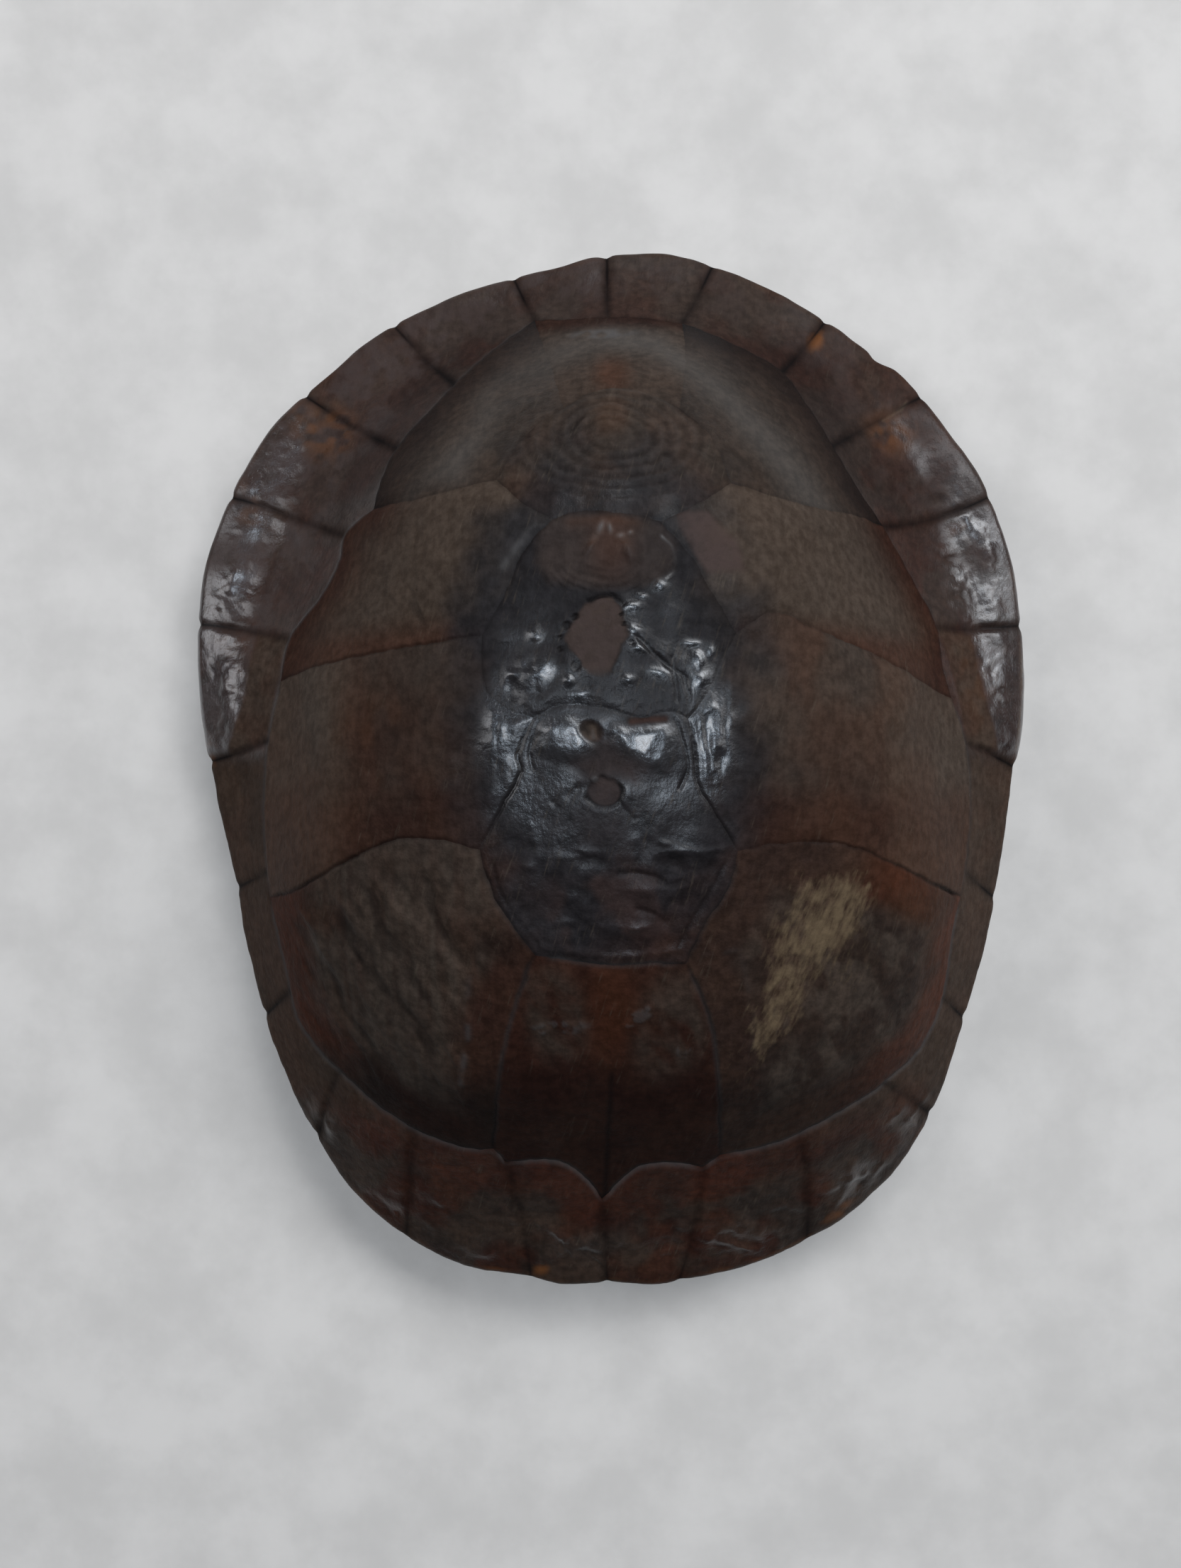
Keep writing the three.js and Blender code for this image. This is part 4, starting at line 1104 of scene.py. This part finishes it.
COSTAL_RINGS = 84
COSTAL_SEAMS = (("v2_c1_", "c1_c2_", "c1_rim_", "v1_c1_"),
                ("v2_c2_", "v3_c2_", "c2_c3_", "c2_rim_", "-c1_c2_"),
                ("v3_c3_", "v4_c3_", "c3_c4_", "c3_rim_", "-c2_c3_"),
                ("v4_c4_", "v5_c4_", "c4_rim_", "-c3_c4_"))
for side, word, first_centre, first_relief in ((-1, "left", (-42, -40), costal_1_left),
                                               (1, "right", (41, -41), costal_1_right)):
    centres = (first_centre, (side * 43, 1), (side * 37, 34), (side * 26, 63))
    reliefs = (first_relief,
               for_side(costal_2, side, 141 + side * 10),
               for_side(costal_3, side, 181 + side * 10),
               for_side(costal_4, side, 221 + side * 10))
    for number, (seams, centre, relief) in enumerate(zip(COSTAL_SEAMS, centres, reliefs), 1):
        scute("costal_%s_%d" % (word, number), [seam + word for seam in seams], centre, COSTAL_RINGS, relief)


# THE MARGINAL SCUTES. Twelve plates on each side, folded round the rim from the dome's edge to the bone
# underneath. The seams between them end in small notches. Those over the bridges are matt, the flared
# ones at the tail are glossy and wrinkled, and those at the head are crumpled.
NOSE = 1.3                  # radius of the rim's rounded edge
RIM_SAMPLES = 1400
# For each side: the seams of the dome's edge, the rim from tail to head, the seams between the plates
# (top, bend or none, bottom), single folds (line, width, height), amber spots (centre, half widths, turn,
# share), cream lines and painted glints (line, width, share) and the outline of the matt corner of the
# seventh plate.
SIDES = {
    "left": {
        "inner": ["v5_m12_left", "c4_rim_left", "c3_rim_left", "c2_rim_left", "c1_rim_left", "-v1_m2_left",
                  "-v1_m1_left"],
        "rim": [(-1, 108.6), (-4.7, 108.6), (-10.6, 106.9), (-20.9, 104.4), (-34.3, 100.5), (-47, 94.9),
                (-53.7, 90.4), (-58.2, 86.8), (-66.4, 79.9), (-74.7, 71.4), (-82.1, 57.2), (-87.3, 43.1),
                (-88.9, 29.7), (-88.6, 13.3), (-86.6, 0.2), (-83.9, -13.4), (-80.5, -26.6), (-79.2, -35.5),
                (-74.5, -53.8), (-70.7, -64.7), (-63.1, -79.1), (-55.8, -90.7), (-44, -100.5),
                (-30.8, -106.6), (-17.3, -108.6), (-10.5, -110), (-1, -109.3)],
        "seams": [((-16.3, 93.0), None, (-20.9, 104.4)), ((-32.0, 76.0), (-38.6, 84.6), (-47, 94.9)),
                  ((-42.8, 62.2), (-55.9, 72.2), (-66.4, 79.9)),
                  ((-53.4, 45.0), (-71.0, 53.7), (-82.1, 57.2)),
                  ((-65.9, 25.0), (-79.4, 28.4), (-88.9, 29.7)), ((-70.0, 4.5), (-78.4, 2.0), (-86.6, 0.2)),
                  ((-70.2, -22.6), None, (-80.5, -26.6)), ((-65.2, -46.3), None, (-74.5, -53.8)),
                  ((-54.5, -61.6), (-59.1, -69.5), (-63.1, -79.1)),
                  ((-39.1, -72.0), (-42.1, -89.3), (-44, -100.5)),
                  ((-21.2, -78.8), (-18.6, -93.0), (-17.3, -108.6))],
        "folds": [([(-20.0, -94.2), (-16.6, -94.2), (-13.4, -95.2), (-9.6, -98.4), (-8.6, -101.8)],
                   0.55, 0.42),
                  ([(-17.6, -102.5), (-14.1, -104.2), (-11.3, -101.8)], 0.55, 0.32),
                  ([(-44.6, -88.6), (-39.8, -87.2), (-35.6, -90.0), (-34.2, -92.8)], 0.6, 0.36),
                  ([(-43.2, -92.1), (-39.0, -93.5), (-37.4, -96.4)], 0.6, 0.26),
                  ([(-66.8, 50.4), (-65.6, 46.4)], 0.9, 0.30), ([(-70.4, 42.4), (-71.6, 36.8)], 0.8, 0.26),
                  ([(-76.2, 43.6), (-76.8, 40.6)], 0.8, 0.30), ([(-80.4, 41.6), (-81.4, 35.8)], 0.8, 0.30),
                  ([(-80.8, 20.8), (-81.4, 14.6)], 1.0, 0.34), ([(-68.8, 57.4), (-66.8, 55.6)], 0.7, 0.28)],
        "amber": [((-61.3, 71.2), (5.4, 7.0), 0.9, 0.24), ((-79.2, 61.0), (1.2, 5.0), 0.5, 0.25),
                  ((-77.5, 52.8), (3.2, 2.0), -0.3, 0.14), ((-85.2, 1.8), (1.6, 2.0), 0.0, 0.45),
                  ((-14.8, -106.2), (1.6, 1.1), 0.2, 0.5), ((-80.0, 25.4), (4.6, 2.6), 0.0, 0.06)],
        "cream_and_glint": [],
        "matt": [(-65.9, 25.0), (-74.4, 27.0), (-76.6, 14.0), (-80.6, 1.6), (-70.0, 4.5), (-68.2, 15.0)]},
    "right": {
        "inner": ["v5_m12_right", "c4_rim_right", "c3_rim_right", "c2_rim_right", "c1_rim_right",
                  "-v1_m2_right", "-v1_m1_right"],
        "rim": [(-1, 108.6), (4, 109.3), (12.2, 109.7), (21.9, 107.2), (36, 101.5), (46.5, 95.7),
                (55.5, 89.6), (57.4, 87.2), (62, 85.3), (67.4, 79.5), (77.2, 65.4), (81.6, 57.3),
                (86.1, 44.6), (88.1, 29.4), (88.9, 19.3), (88.5, 10.3), (87, -0.8), (84.8, -14.9),
                (82.7, -28.9), (79.3, -42.8), (75.7, -54.4), (71.6, -67.6), (68.5, -74.8), (62.5, -84.9),
                (53.7, -93.5), (41.8, -101.2), (28.6, -106.6), (14.5, -109.2), (8.3, -110.2), (-1, -109.3)],
        "seams": [((14.4, 90.5), None, (21.9, 107.2)), ((35.1, 80.8), None, (46.5, 95.7)),
                  ((44.2, 63.0), (56.9, 73.2), (67.4, 79.5)), ((55.1, 47.9), (72.1, 53.1), (81.6, 57.3)),
                  ((67.0, 27.8), (77.0, 28.3), (88.1, 29.4)), ((72.4, 3.9), (79.0, 2.0), (87, -0.8)),
                  ((71.9, -22.6), None, (82.7, -28.9)), ((66.9, -47.7), None, (75.7, -54.4)),
                  ((53.8, -63.7), None, (68.5, -74.8)), ((36.2, -72.9), (40.4, -89.1), (41.8, -101.2)),
                  ((17.6, -80.0), (17.3, -95.0), (14.5, -109.2))],
        "folds": [([(13.6, -95.3), (15.4, -95.5), (16.6, -96.3)], 0.5, 0.34),
                  ([(6.7, -98.3), (10.8, -96.9), (14.0, -98.6)], 0.5, 0.24),
                  ([(10.2, -101.8), (14.0, -101.4), (17.8, -99.4)], 0.5, 0.32),
                  ([(31.0, -91.4), (35.1, -91.0), (42.0, -92.8)], 0.6, 0.36),
                  ([(30.3, -96.9), (31.6, -102.4)], 0.5, 0.24), ([(34.0, -97.0), (35.4, -101.7)], 0.5, 0.24),
                  ([(44.1, -88.6), (48.3, -86.2), (52.5, -85.8)], 0.6, 0.38),
                  ([(76.0, 52.4), (78.4, 49.8)], 1.1, 0.34),
                  ([(72.0, 45.6), (73.6, 40.0), (73.4, 34.6)], 2.4, 0.34),
                  ([(81.0, 46.0), (81.6, 42.0)], 0.9, 0.36), ([(43.0, 80.4), (44.6, 79.4)], 0.9, 0.30),
                  ([(36.0, 84.0), (37.8, 82.8)], 0.8, 0.26)],
        "amber": [((44.0, 90.9), (1.5, 2.8), -0.4, 0.55), ((59.4, 70.6), (5.0, 4.8), 0.0, 0.24),
                  ((47.6, -94.4), (3.6, 1.3), 0.6, 0.45), ((76.0, 17.0), (4.0, 9.0), 0.0, 0.07),
                  ((74.0, 50.6), (2.0, 1.4), 0.7, 0.20)],
        "cream_and_glint": [([(58.2, 73.2), (59.8, 74.4), (62.0, 75.9), (63.8, 77.7)], 0.55, 0.75),
                  ([(77.6, 55.6), (79.6, 56.4), (81.4, 57.0)], 0.45, 0.45),
                  # These two lines along the rim's edge are painted highlights, not cream horn.
                  ([(85.7, 41.0), (87.0, 34.0), (87.8, 30.4)], 0.8, 0.55),
                  ([(87.6, 27.6), (87.6, 14.0), (86.2, 3.0)], 0.7, 0.60)],
        "matt": [(67.0, 27.8), (75.9, 26.8), (77.9, 15.0), (81.0, 2.3), (72.4, 3.9), (70.4, 15.0)]}}
TOP_ROWS = 46
NOSE_ROWS = 9
UNDER_ROWS = 10
UP = np.array([0, 0, 1.0])
BEND_SHARE = 0.8            # of a seam's bend that its column follows
PLATE_BLEND = 0.7           # how far from a seam a plate's own relief reaches its full height
PLATE_SEAM_DEPTH = 0.26
PLATE_SEAM_WIDTH = 0.95
NOTCH = 0.22                # depth and half width of the notch where a seam meets the rim
NOTCH_WIDTH = 1.1
FLARE = 2.1                 # how far the rim turns up at the tail
NEAR_GROUND = 0.6


def place_on(line, along, point):
    """How far along a sampled line its sample nearest to a point is."""
    return along[np.argmin(np.hypot(line[:, 0] - point[0], line[:, 1] - point[1]))]


def head_end(y):
    """1 on the marginals of the head end, 0 on the others."""
    return smooth((-62 - y) / 14)


def marginal_relief(x, y, edge, rim, facts, side, seed):
    """Relief and marks of the rim's plates: gloss, wrinkles and red at the tail, with plum that is partly a
    painted sheen and painted shade along the dome's edge, plain olive over the bridge, crumpled horn at the
    head, and a thin brown border or a painted highlight at the rim's edge. edge and rim are the distances to
    the dome's edge and to the rim. facts gives the single folds, amber spots, cream lines and painted glints
    of this side, and the matt corner of its seventh plate."""
    tail = smooth((y + 2) / 6)
    front = head_end(y)
    bridge = (1 - tail) * (1 - front)
    turn = np.arctan2(x, y + 5) * 88
    radial = 0.09 * bumps(turn, rim * 0.6, 1.5, seed) + 0.06 * bumps(turn, rim * 0.7, 0.8, seed + 1)
    swell = 0.48 * np.exp(-((rim - 8 - 2.0 * bumps(x, y, 12, seed + 12)) / 3.4) ** 2) * smooth((66 - y) / 16)
    dents = 0.15 * rough(x, y, 4.2, seed + 2, 3)
    lift = tail * smooth((rim - 1) / 4) * (radial + swell + dents) + 0.2 * rough(x, y, 11, seed + 3)
    warped_x = x + 2.4 * bumps(x, y, 7, seed + 20)
    warped_y = y + 2.4 * bumps(x, y, 7, seed + 21)
    crumple = 1 - 2 * np.abs(bumps(warped_x * 0.8, warped_y * 1.2, 4.6, seed + 4))
    crumple = crumple + 0.4 * (1 - 2 * np.abs(bumps(warped_x, warped_y * 1.1, 2.2, seed + 5)))
    zone = front * smooth((17 - rim) / 7) * (0.15 + 0.85 * smooth((rim - 1.5) / 4))
    zone = zone * smooth(0.55 + 1.1 * bumps(x, y, 9, seed + 22))
    lift += 0.44 * zone * crumple + 0.05 * front * rough(x, y, 1.8, seed + 6)
    lift += 0.05 * bridge * rough(x, y, 2.4, seed + 7)
    folded = sum(height * stroke(x, y, line, 1.5 * width) for line, width, height in facts["folds"])
    folded = folded * smooth(0.75 + 0.8 * bumps(x, y, 1.6, seed + 23))
    lift += folded
    inner = smooth((9 - edge) / 5)
    clouds = smooth(0.5 + 1.1 * rough(x, y, 9, seed + 8))
    blotches = smooth(0.4 + 1.3 * rough(x, y, 4, seed + 14))
    border = np.exp(-(np.maximum(rim - 0.5, 0) / (0.6 + 0.3 * bumps(x, y, 4, seed + 9))) ** 2)
    pale_band = np.exp(-((edge - 0.5) / 0.4) ** 2) * smooth((-44 - y) / 14)
    upper = smooth((11 - edge) / 5) * front
    matt = patch(x, y, facts["matt"], 1.6)
    shiny = 1.0 + 0.15 * smooth((30 - y) / 6) - 0.25 * smooth((y - 50) / 8) - 0.30 * smooth((y - 70) / 10)
    band = smooth((18 - rim + 3 * bumps(x, y, 5, seed + 15)) / 10) * smooth((rim + 1) / 3)
    band = band * smooth(0.75 + 0.8 * bumps(x, y, 7, seed + 13))
    shiny = shiny * (0.47 - 0.04 * side + (0.44 - 0.05 * side) * band + 0.5 * folded) * (1 - 0.75 * matt)
    amber = sum(share * spot(x, y, centre, half, angle, 1.3)
                for centre, half, angle, share in facts["amber"])
    # The cream lines are cream horn, and along the right rim's edge painted highlights.
    cream_and_glint = sum(share * stroke(x, y, line, width) for line, width, share in facts["cream_and_glint"])
    worn_brown = 0.10 + 0.55 * front * smooth(0.3 + bumps(x, y, 5, seed + 10))
    # Plum horn at the tail, partly its own colour and partly a painted sheen; the painted part is mostly on
    # the left, where it is raised 1.9 times.
    plum_and_sheen = tail * (0.12 + 0.30 * blotches * (1 - inner)) * (1 - matt) * (1.9 if side < 0 else 0.9)
    marks = {"red": tail * (0.25 + 0.26 * clouds * (0.4 + inner)) * (1 - 0.4 * matt) + front * 0.40 * clouds
             + 0.35 * upper + 0.3 * bridge * clouds,
             "olive": bridge * (0.49 + 0.06 * side) + front * 0.28 * (1 - clouds) * (1 - upper)
             + tail * (0.12 + 0.22 * (1 - clouds) + 0.2 * smooth((y - 84) / 8) + 0.3 * matt),
             "bare": plum_and_sheen,
             "amber": amber * smooth(0.65 + 0.9 * bumps(x, y, 1.8, seed + 24))
             + 0.045 * bridge + 0.03 * matt + 0.12 * cream_and_glint + border * worn_brown,
             # The pale at the very rim over the bridge is a painted highlight on the lit edge.
             "pale": 0.16 * pale_band + 0.30 * np.exp(-(rim / 0.7) ** 2) * bridge + 0.25 * cream_and_glint,
             # The dark along the dome's edge at the tail is painted shade in the gutter where the steep dome
             # meets the flared plates.
             "dark": 0.20 * front * smooth((6 - rim) / 4) * (1 - border) + (0.05 - 0.05 * side) * bridge
             + 0.42 * smooth((y - 40) / 22) * smooth((14 - edge) / 9) * (1 - 0.5 * smooth((y - 84) / 10)),
             "gloss": tail * shiny + bridge * 0.2 + front * (0.36 + 0.28 * zone + 0.45 * folded)
             + 0.2 * cream_and_glint,
             "slate": tail * (0.10 + 0.2 * smooth((60 - y) / 8) * smooth((12 - rim) / 4)) * (1 - matt),
             "tan": 0.9 * cream_and_glint}
    return lift, marks


def matched_rim(inner, inner_along, facts):
    """The place on the rim for each sample of the dome's edge, shared out evenly between one seam and the
    next; how far each column bends aside half way; and where along the dome's edge the seams start."""
    hand = np.array(facts["rim"], float)
    hand_along = length_along(hand)
    rim_along = np.linspace(0, hand_along[-1], RIM_SAMPLES)
    rim = through_values(hand_along, hand, rim_along, level_start=False, level_end=False)
    ends = [(inner_along[0], rim_along[0], (0.0, 0.0))]
    for top, bend, bottom in facts["seams"]:
        middle = (np.array(top) + bottom) / 2
        sideways = (0.0, 0.0) if bend is None else tuple(np.array(bend) - middle)
        ends.append((place_on(inner, inner_along, top), place_on(rim, rim_along, bottom), sideways))
    ends.append((inner_along[-1], rim_along[-1], (0.0, 0.0)))
    seam_starts, seam_ends, bends = (np.array(values) for values in zip(*ends))
    matched = np.interp(inner_along, seam_starts, seam_ends)
    outer = np.stack([np.interp(matched, rim_along, rim[:, axis]) for axis in (0, 1)], axis=-1)
    aside = np.stack([np.interp(inner_along, seam_starts, bends[:, axis]) for axis in (0, 1)], axis=-1)
    return outer, aside, seam_starts


def outward_from(outer, inner_along):
    """Direction in plan square to the rim and away from the crown. Near both ends of the strip it turns to
    lie along the body, so that the two sides join there."""
    way = np.gradient(outer, axis=0)
    out = np.stack([way[:, 1], -way[:, 0]], axis=-1)
    out /= np.maximum(np.hypot(out[:, 0], out[:, 1]), 1e-9)[:, None]
    out *= np.sign((out * (outer - CROWN)).sum(axis=1))[:, None]
    from_middle = smooth(np.minimum(inner_along, inner_along[-1] - inner_along) / 3)[:, None]
    lengthwise = np.stack([np.zeros(len(outer)), np.sign(outer[:, 1])], axis=-1)
    out = out * from_middle + lengthwise * (1 - from_middle)
    return out / np.hypot(out[:, 0], out[:, 1])[:, None]


def rounded_edge(outer, out, normal, lift, notch):
    """Rows round the rim, a half circle flattened to the thickness of the wall, first bare and then as far
    out as the horn above them, less the notch where a seam ends. The direction in which they stand out
    turns from the dome's over to their own."""
    swing = np.radians(np.linspace(90, -90, NOSE_ROWS + 2)[1:])[:, None]
    place = outer - out * (NOSE * (1 - np.cos(swing)))[..., None]
    drop = NOSE * (1 - np.sin(swing)) * (RIM_WALL / (2 * NOSE))
    height = dome_height(place[..., 0], place[..., 1]) - drop
    bare = np.concatenate([place, height[..., None]], axis=-1)
    outward = np.concatenate([out, np.zeros((len(out), 1))], axis=1)
    own = np.sin(swing)[..., None] * UP + np.cos(swing)[..., None] * outward
    turned = smooth(np.arange(1, NOSE_ROWS + 2) / 4)[:, None, None]
    way = normal * (1 - turned) + own * turned
    return bare, bare + way * (lift - notch * np.cos(swing))[..., None]


def underside(edge, outer, lift):
    """Rows from the rim's lower edge straight to the bone, lowered by the lift at the edge and by less and
    less from there on, but not where they come near the ground."""
    angle = direction_of(outer[:, 0], outer[:, 1])[0]
    distance, height = sawn_point(angle, np.full_like(angle, SAWN_OUTER))
    turn = np.radians(angle)
    end = CROWN + np.stack([np.sin(turn), np.cos(turn)], axis=-1) * distance[:, None]
    end = np.concatenate([end, height[:, None]], axis=-1)
    share = np.linspace(0, 1, UNDER_ROWS + 1)[1:, None, None]
    points = edge + (end - edge) * share
    return points - UP * (1 - share) * lift[:, None] * (points[..., 2:] > NEAR_GROUND)


def carried_under(marks):
    """Marks of the top rows carried on round the rim and under it, where they fade to those of dull horn."""
    fade = np.concatenate([np.zeros(TOP_ROWS), np.linspace(0, 1, NOSE_ROWS + 1), np.ones(UNDER_ROWS)])
    fade = fade[:, None]
    dull = {"olive": 0.75, "gloss": 0.3, "amber": 0.06}
    full = {}
    for name, values in marks.items():
        long = np.concatenate([values, np.repeat(values[-1:], len(fade) - TOP_ROWS, axis=0)])
        full[name] = long if name == "dark" else long * (1 - fade) + dull.get(name, 0.0) * fade
    return full


def marginals(word, side, seed):
    """The row of plates on one side as one strip. Its columns start at the samples of the dome's edge and
    run to the rim so that the seams between plates are columns too; the rows go on round the rim's edge
    and along the underside to the bone. The strip flares up along its rim at the tail."""
    facts = SIDES[word]
    start, last = joined(facts["inner"])
    samples = np.vstack([start, last])
    inner = samples[:, :2]
    strength = samples[:, 2]
    pale = samples[:, 3]
    inner_along = length_along(inner)
    outer, aside, seam_starts = matched_rim(inner, inner_along, facts)
    out = outward_from(outer, inner_along)
    v = np.linspace(0, 1, TOP_ROWS)[:, None, None]
    top = inner + (outer - out * NOSE - inner) * v + aside * BEND_SHARE * 4 * v * (1 - v)
    x = top[..., 0]
    y = top[..., 1]

    edge = distance_to(x, y, inner[::2])
    edge[0] = 0
    seam_columns = [int(np.argmin(np.abs(inner_along - start))) for start in seam_starts]
    seam = np.min([distance_to(x, y, top[::3, column]) for column in seam_columns], axis=0)
    rim = np.hypot(x - outer[:, 0], y - outer[:, 1])
    lift, marks = marginal_relief(x, y, edge, rim, facts, side, seed)
    free = 1 - np.exp(-(edge / PLATE_BLEND) ** 2)
    lift = lift * (1 - np.exp(-(np.minimum(edge, seam) / PLATE_BLEND) ** 2)) + furrow(x, y, edge, strength)
    front = head_end(y)
    deep = (0.30 + 0.5 * smooth((np.abs(x + 1) - 3) / 4)) * (1 - 0.3 * front)
    uneven = 1 + 0.5 * bumps(x, y, 3, 33)
    lift = lift - PLATE_SEAM_DEPTH * free * deep * np.exp(-(seam / PLATE_SEAM_WIDTH) ** 2) * uneven

    normal = dome_normal(x, y)
    top_points = np.stack([x, y, dome_height(x, y)], axis=-1) + normal * lift[..., None]
    notch = NOTCH * np.exp(-(seam[-1] / NOTCH_WIDTH) ** 2)
    bare_edge, edge_points = rounded_edge(outer, out, normal[-1], lift[-1], notch)
    points = np.concatenate([top_points, edge_points, underside(bare_edge[-1], outer, lift[-1])])
    behind = smooth((y + 3) / 8) * smooth((78 - y) / 20)
    flare = FLARE * behind * smooth((15 - rim) / 13) * free
    fading = (1 - np.linspace(0, 1, UNDER_ROWS + 1)[1:, None]) ** 1.5
    at_edge = np.repeat(flare[-1:], NOSE_ROWS + 1, axis=0)
    points[..., 2] += np.concatenate([flare, at_edge, flare[-1] * fading])

    crack = 0.55 * np.exp(-(seam / 0.32) ** 2) * (0.15 + 0.85 * smooth((9 - rim) / 5))
    hollow = 0.42 * np.exp(-(seam / 1.1) ** 2) * (1 + 0.4 * bumps(x, y, 4, 34))
    darkened = np.maximum(furrow_dark(edge, strength, pale), (crack + hollow) * (1 - 0.35 * front))
    marks["pale"] = marks["pale"] + furrow_pale(edge, pale)
    marks["gloss"] = marks["gloss"] * (1 - 0.55 * np.exp(-(seam / 1.2) ** 2))
    full = carried_under(all_marks(x, marks, darkened))
    rows, columns = points.shape[:2]
    spread = np.stack([np.broadcast_to(inner_along / inner_along[-1], (rows, columns)),
                       np.broadcast_to(np.linspace(0, 1, rows)[:, None], (rows, columns))], axis=-1)
    if side > 0:
        points = points[:, ::-1]
        spread = spread[:, ::-1]
        full = {name: values[:, ::-1] for name, values in full.items()}
    finished(mesh_of("marginals_" + word, points, False, None, full, spread))


marginals("left", -1, 301)
marginals("right", 1, 341)


# THE SETTING. A plain pale floor and a camera that looks straight down. The main light is a large soft
# one behind the tail; a wide and a small one overhead shine in the crown, and one at each side fills.
FLOOR_DROP = 0.3 * MM


def floor():
    """A flat pale sheet, slightly cool, with a faint mottle."""
    mesh = bpy.data.meshes.new("floor")
    half = 1.5
    mesh.from_pydata([(-half, -half, -FLOOR_DROP), (half, -half, -FLOOR_DROP), (half, half, -FLOOR_DROP),
                      (-half, half, -FLOOR_DROP)], [], [(0, 1, 2, 3)])
    sheet = bpy.data.objects.new("floor", mesh)
    bpy.context.scene.collection.objects.link(sheet)
    material, tree, shader, place = new_material("pale_cloth")
    mottle = ramp(tree, grain(tree, place, 45, 6), 0.3, 0.7)
    colour = blended(tree, mottle, (0.54, 0.54, 0.535, 1), (0.62, 0.62, 0.615, 1))
    tree.links.new(colour, shader.inputs["Base Color"])
    shader.inputs["Roughness"].default_value = 0.95
    shader.inputs["Specular IOR Level"].default_value = 0.1
    mesh.materials.append(material)


def soft_light(name, place, size, power, colour):
    """A square soft light at a place, aimed at the shell."""
    lamp = bpy.data.lights.new(name, "AREA")
    lamp.shape = "RECTANGLE"
    lamp.size = size[0]
    lamp.size_y = size[1]
    lamp.energy = power
    lamp.color = colour
    holder = bpy.data.objects.new(name, lamp)
    holder.location = place
    aim = -holder.location
    holder.rotation_euler = aim.to_track_quat("-Z", "Y").to_euler()
    bpy.context.scene.collection.objects.link(holder)


floor()
soft_light("behind", (0.58, 1.08, 1.18), (1.4, 0.6), 22.5, (1.0, 0.985, 0.98))
soft_light("above", (0.02, 0.04, 1.2), (0.60, 0.42), 3.2, (0.78, 0.89, 1.0))
soft_light("lamp", (0.02, 0.03, 1.2), (0.20, 0.17), 1.9, (1.0, 0.98, 0.98))
soft_light("left", (-1.0, 0.30, 0.95), (0.5, 0.7), 4.4, (1.0, 0.96, 0.95))
soft_light("right", (1.0, 0.30, 0.95), (0.5, 0.7), 2.8, (1.0, 0.98, 0.97))
world = bpy.data.worlds.new("room")
world.use_nodes = True
world.node_tree.nodes["Background"].inputs["Color"].default_value = (1.0, 0.98, 0.96, 1)
world.node_tree.nodes["Background"].inputs["Strength"].default_value = 0.020
bpy.context.scene.world = world
bpy.context.scene.view_settings.view_transform = "Standard"

camera_data = bpy.data.cameras.new("camera")
camera_data.sensor_width = 36.0
camera_data.lens = 26.98
camera = bpy.data.objects.new("camera", camera_data)
camera.location = (-0.0045, -0.0046, 0.2636)
camera_data.clip_start = 0.01
bpy.context.scene.collection.objects.link(camera)
bpy.context.scene.camera = camera
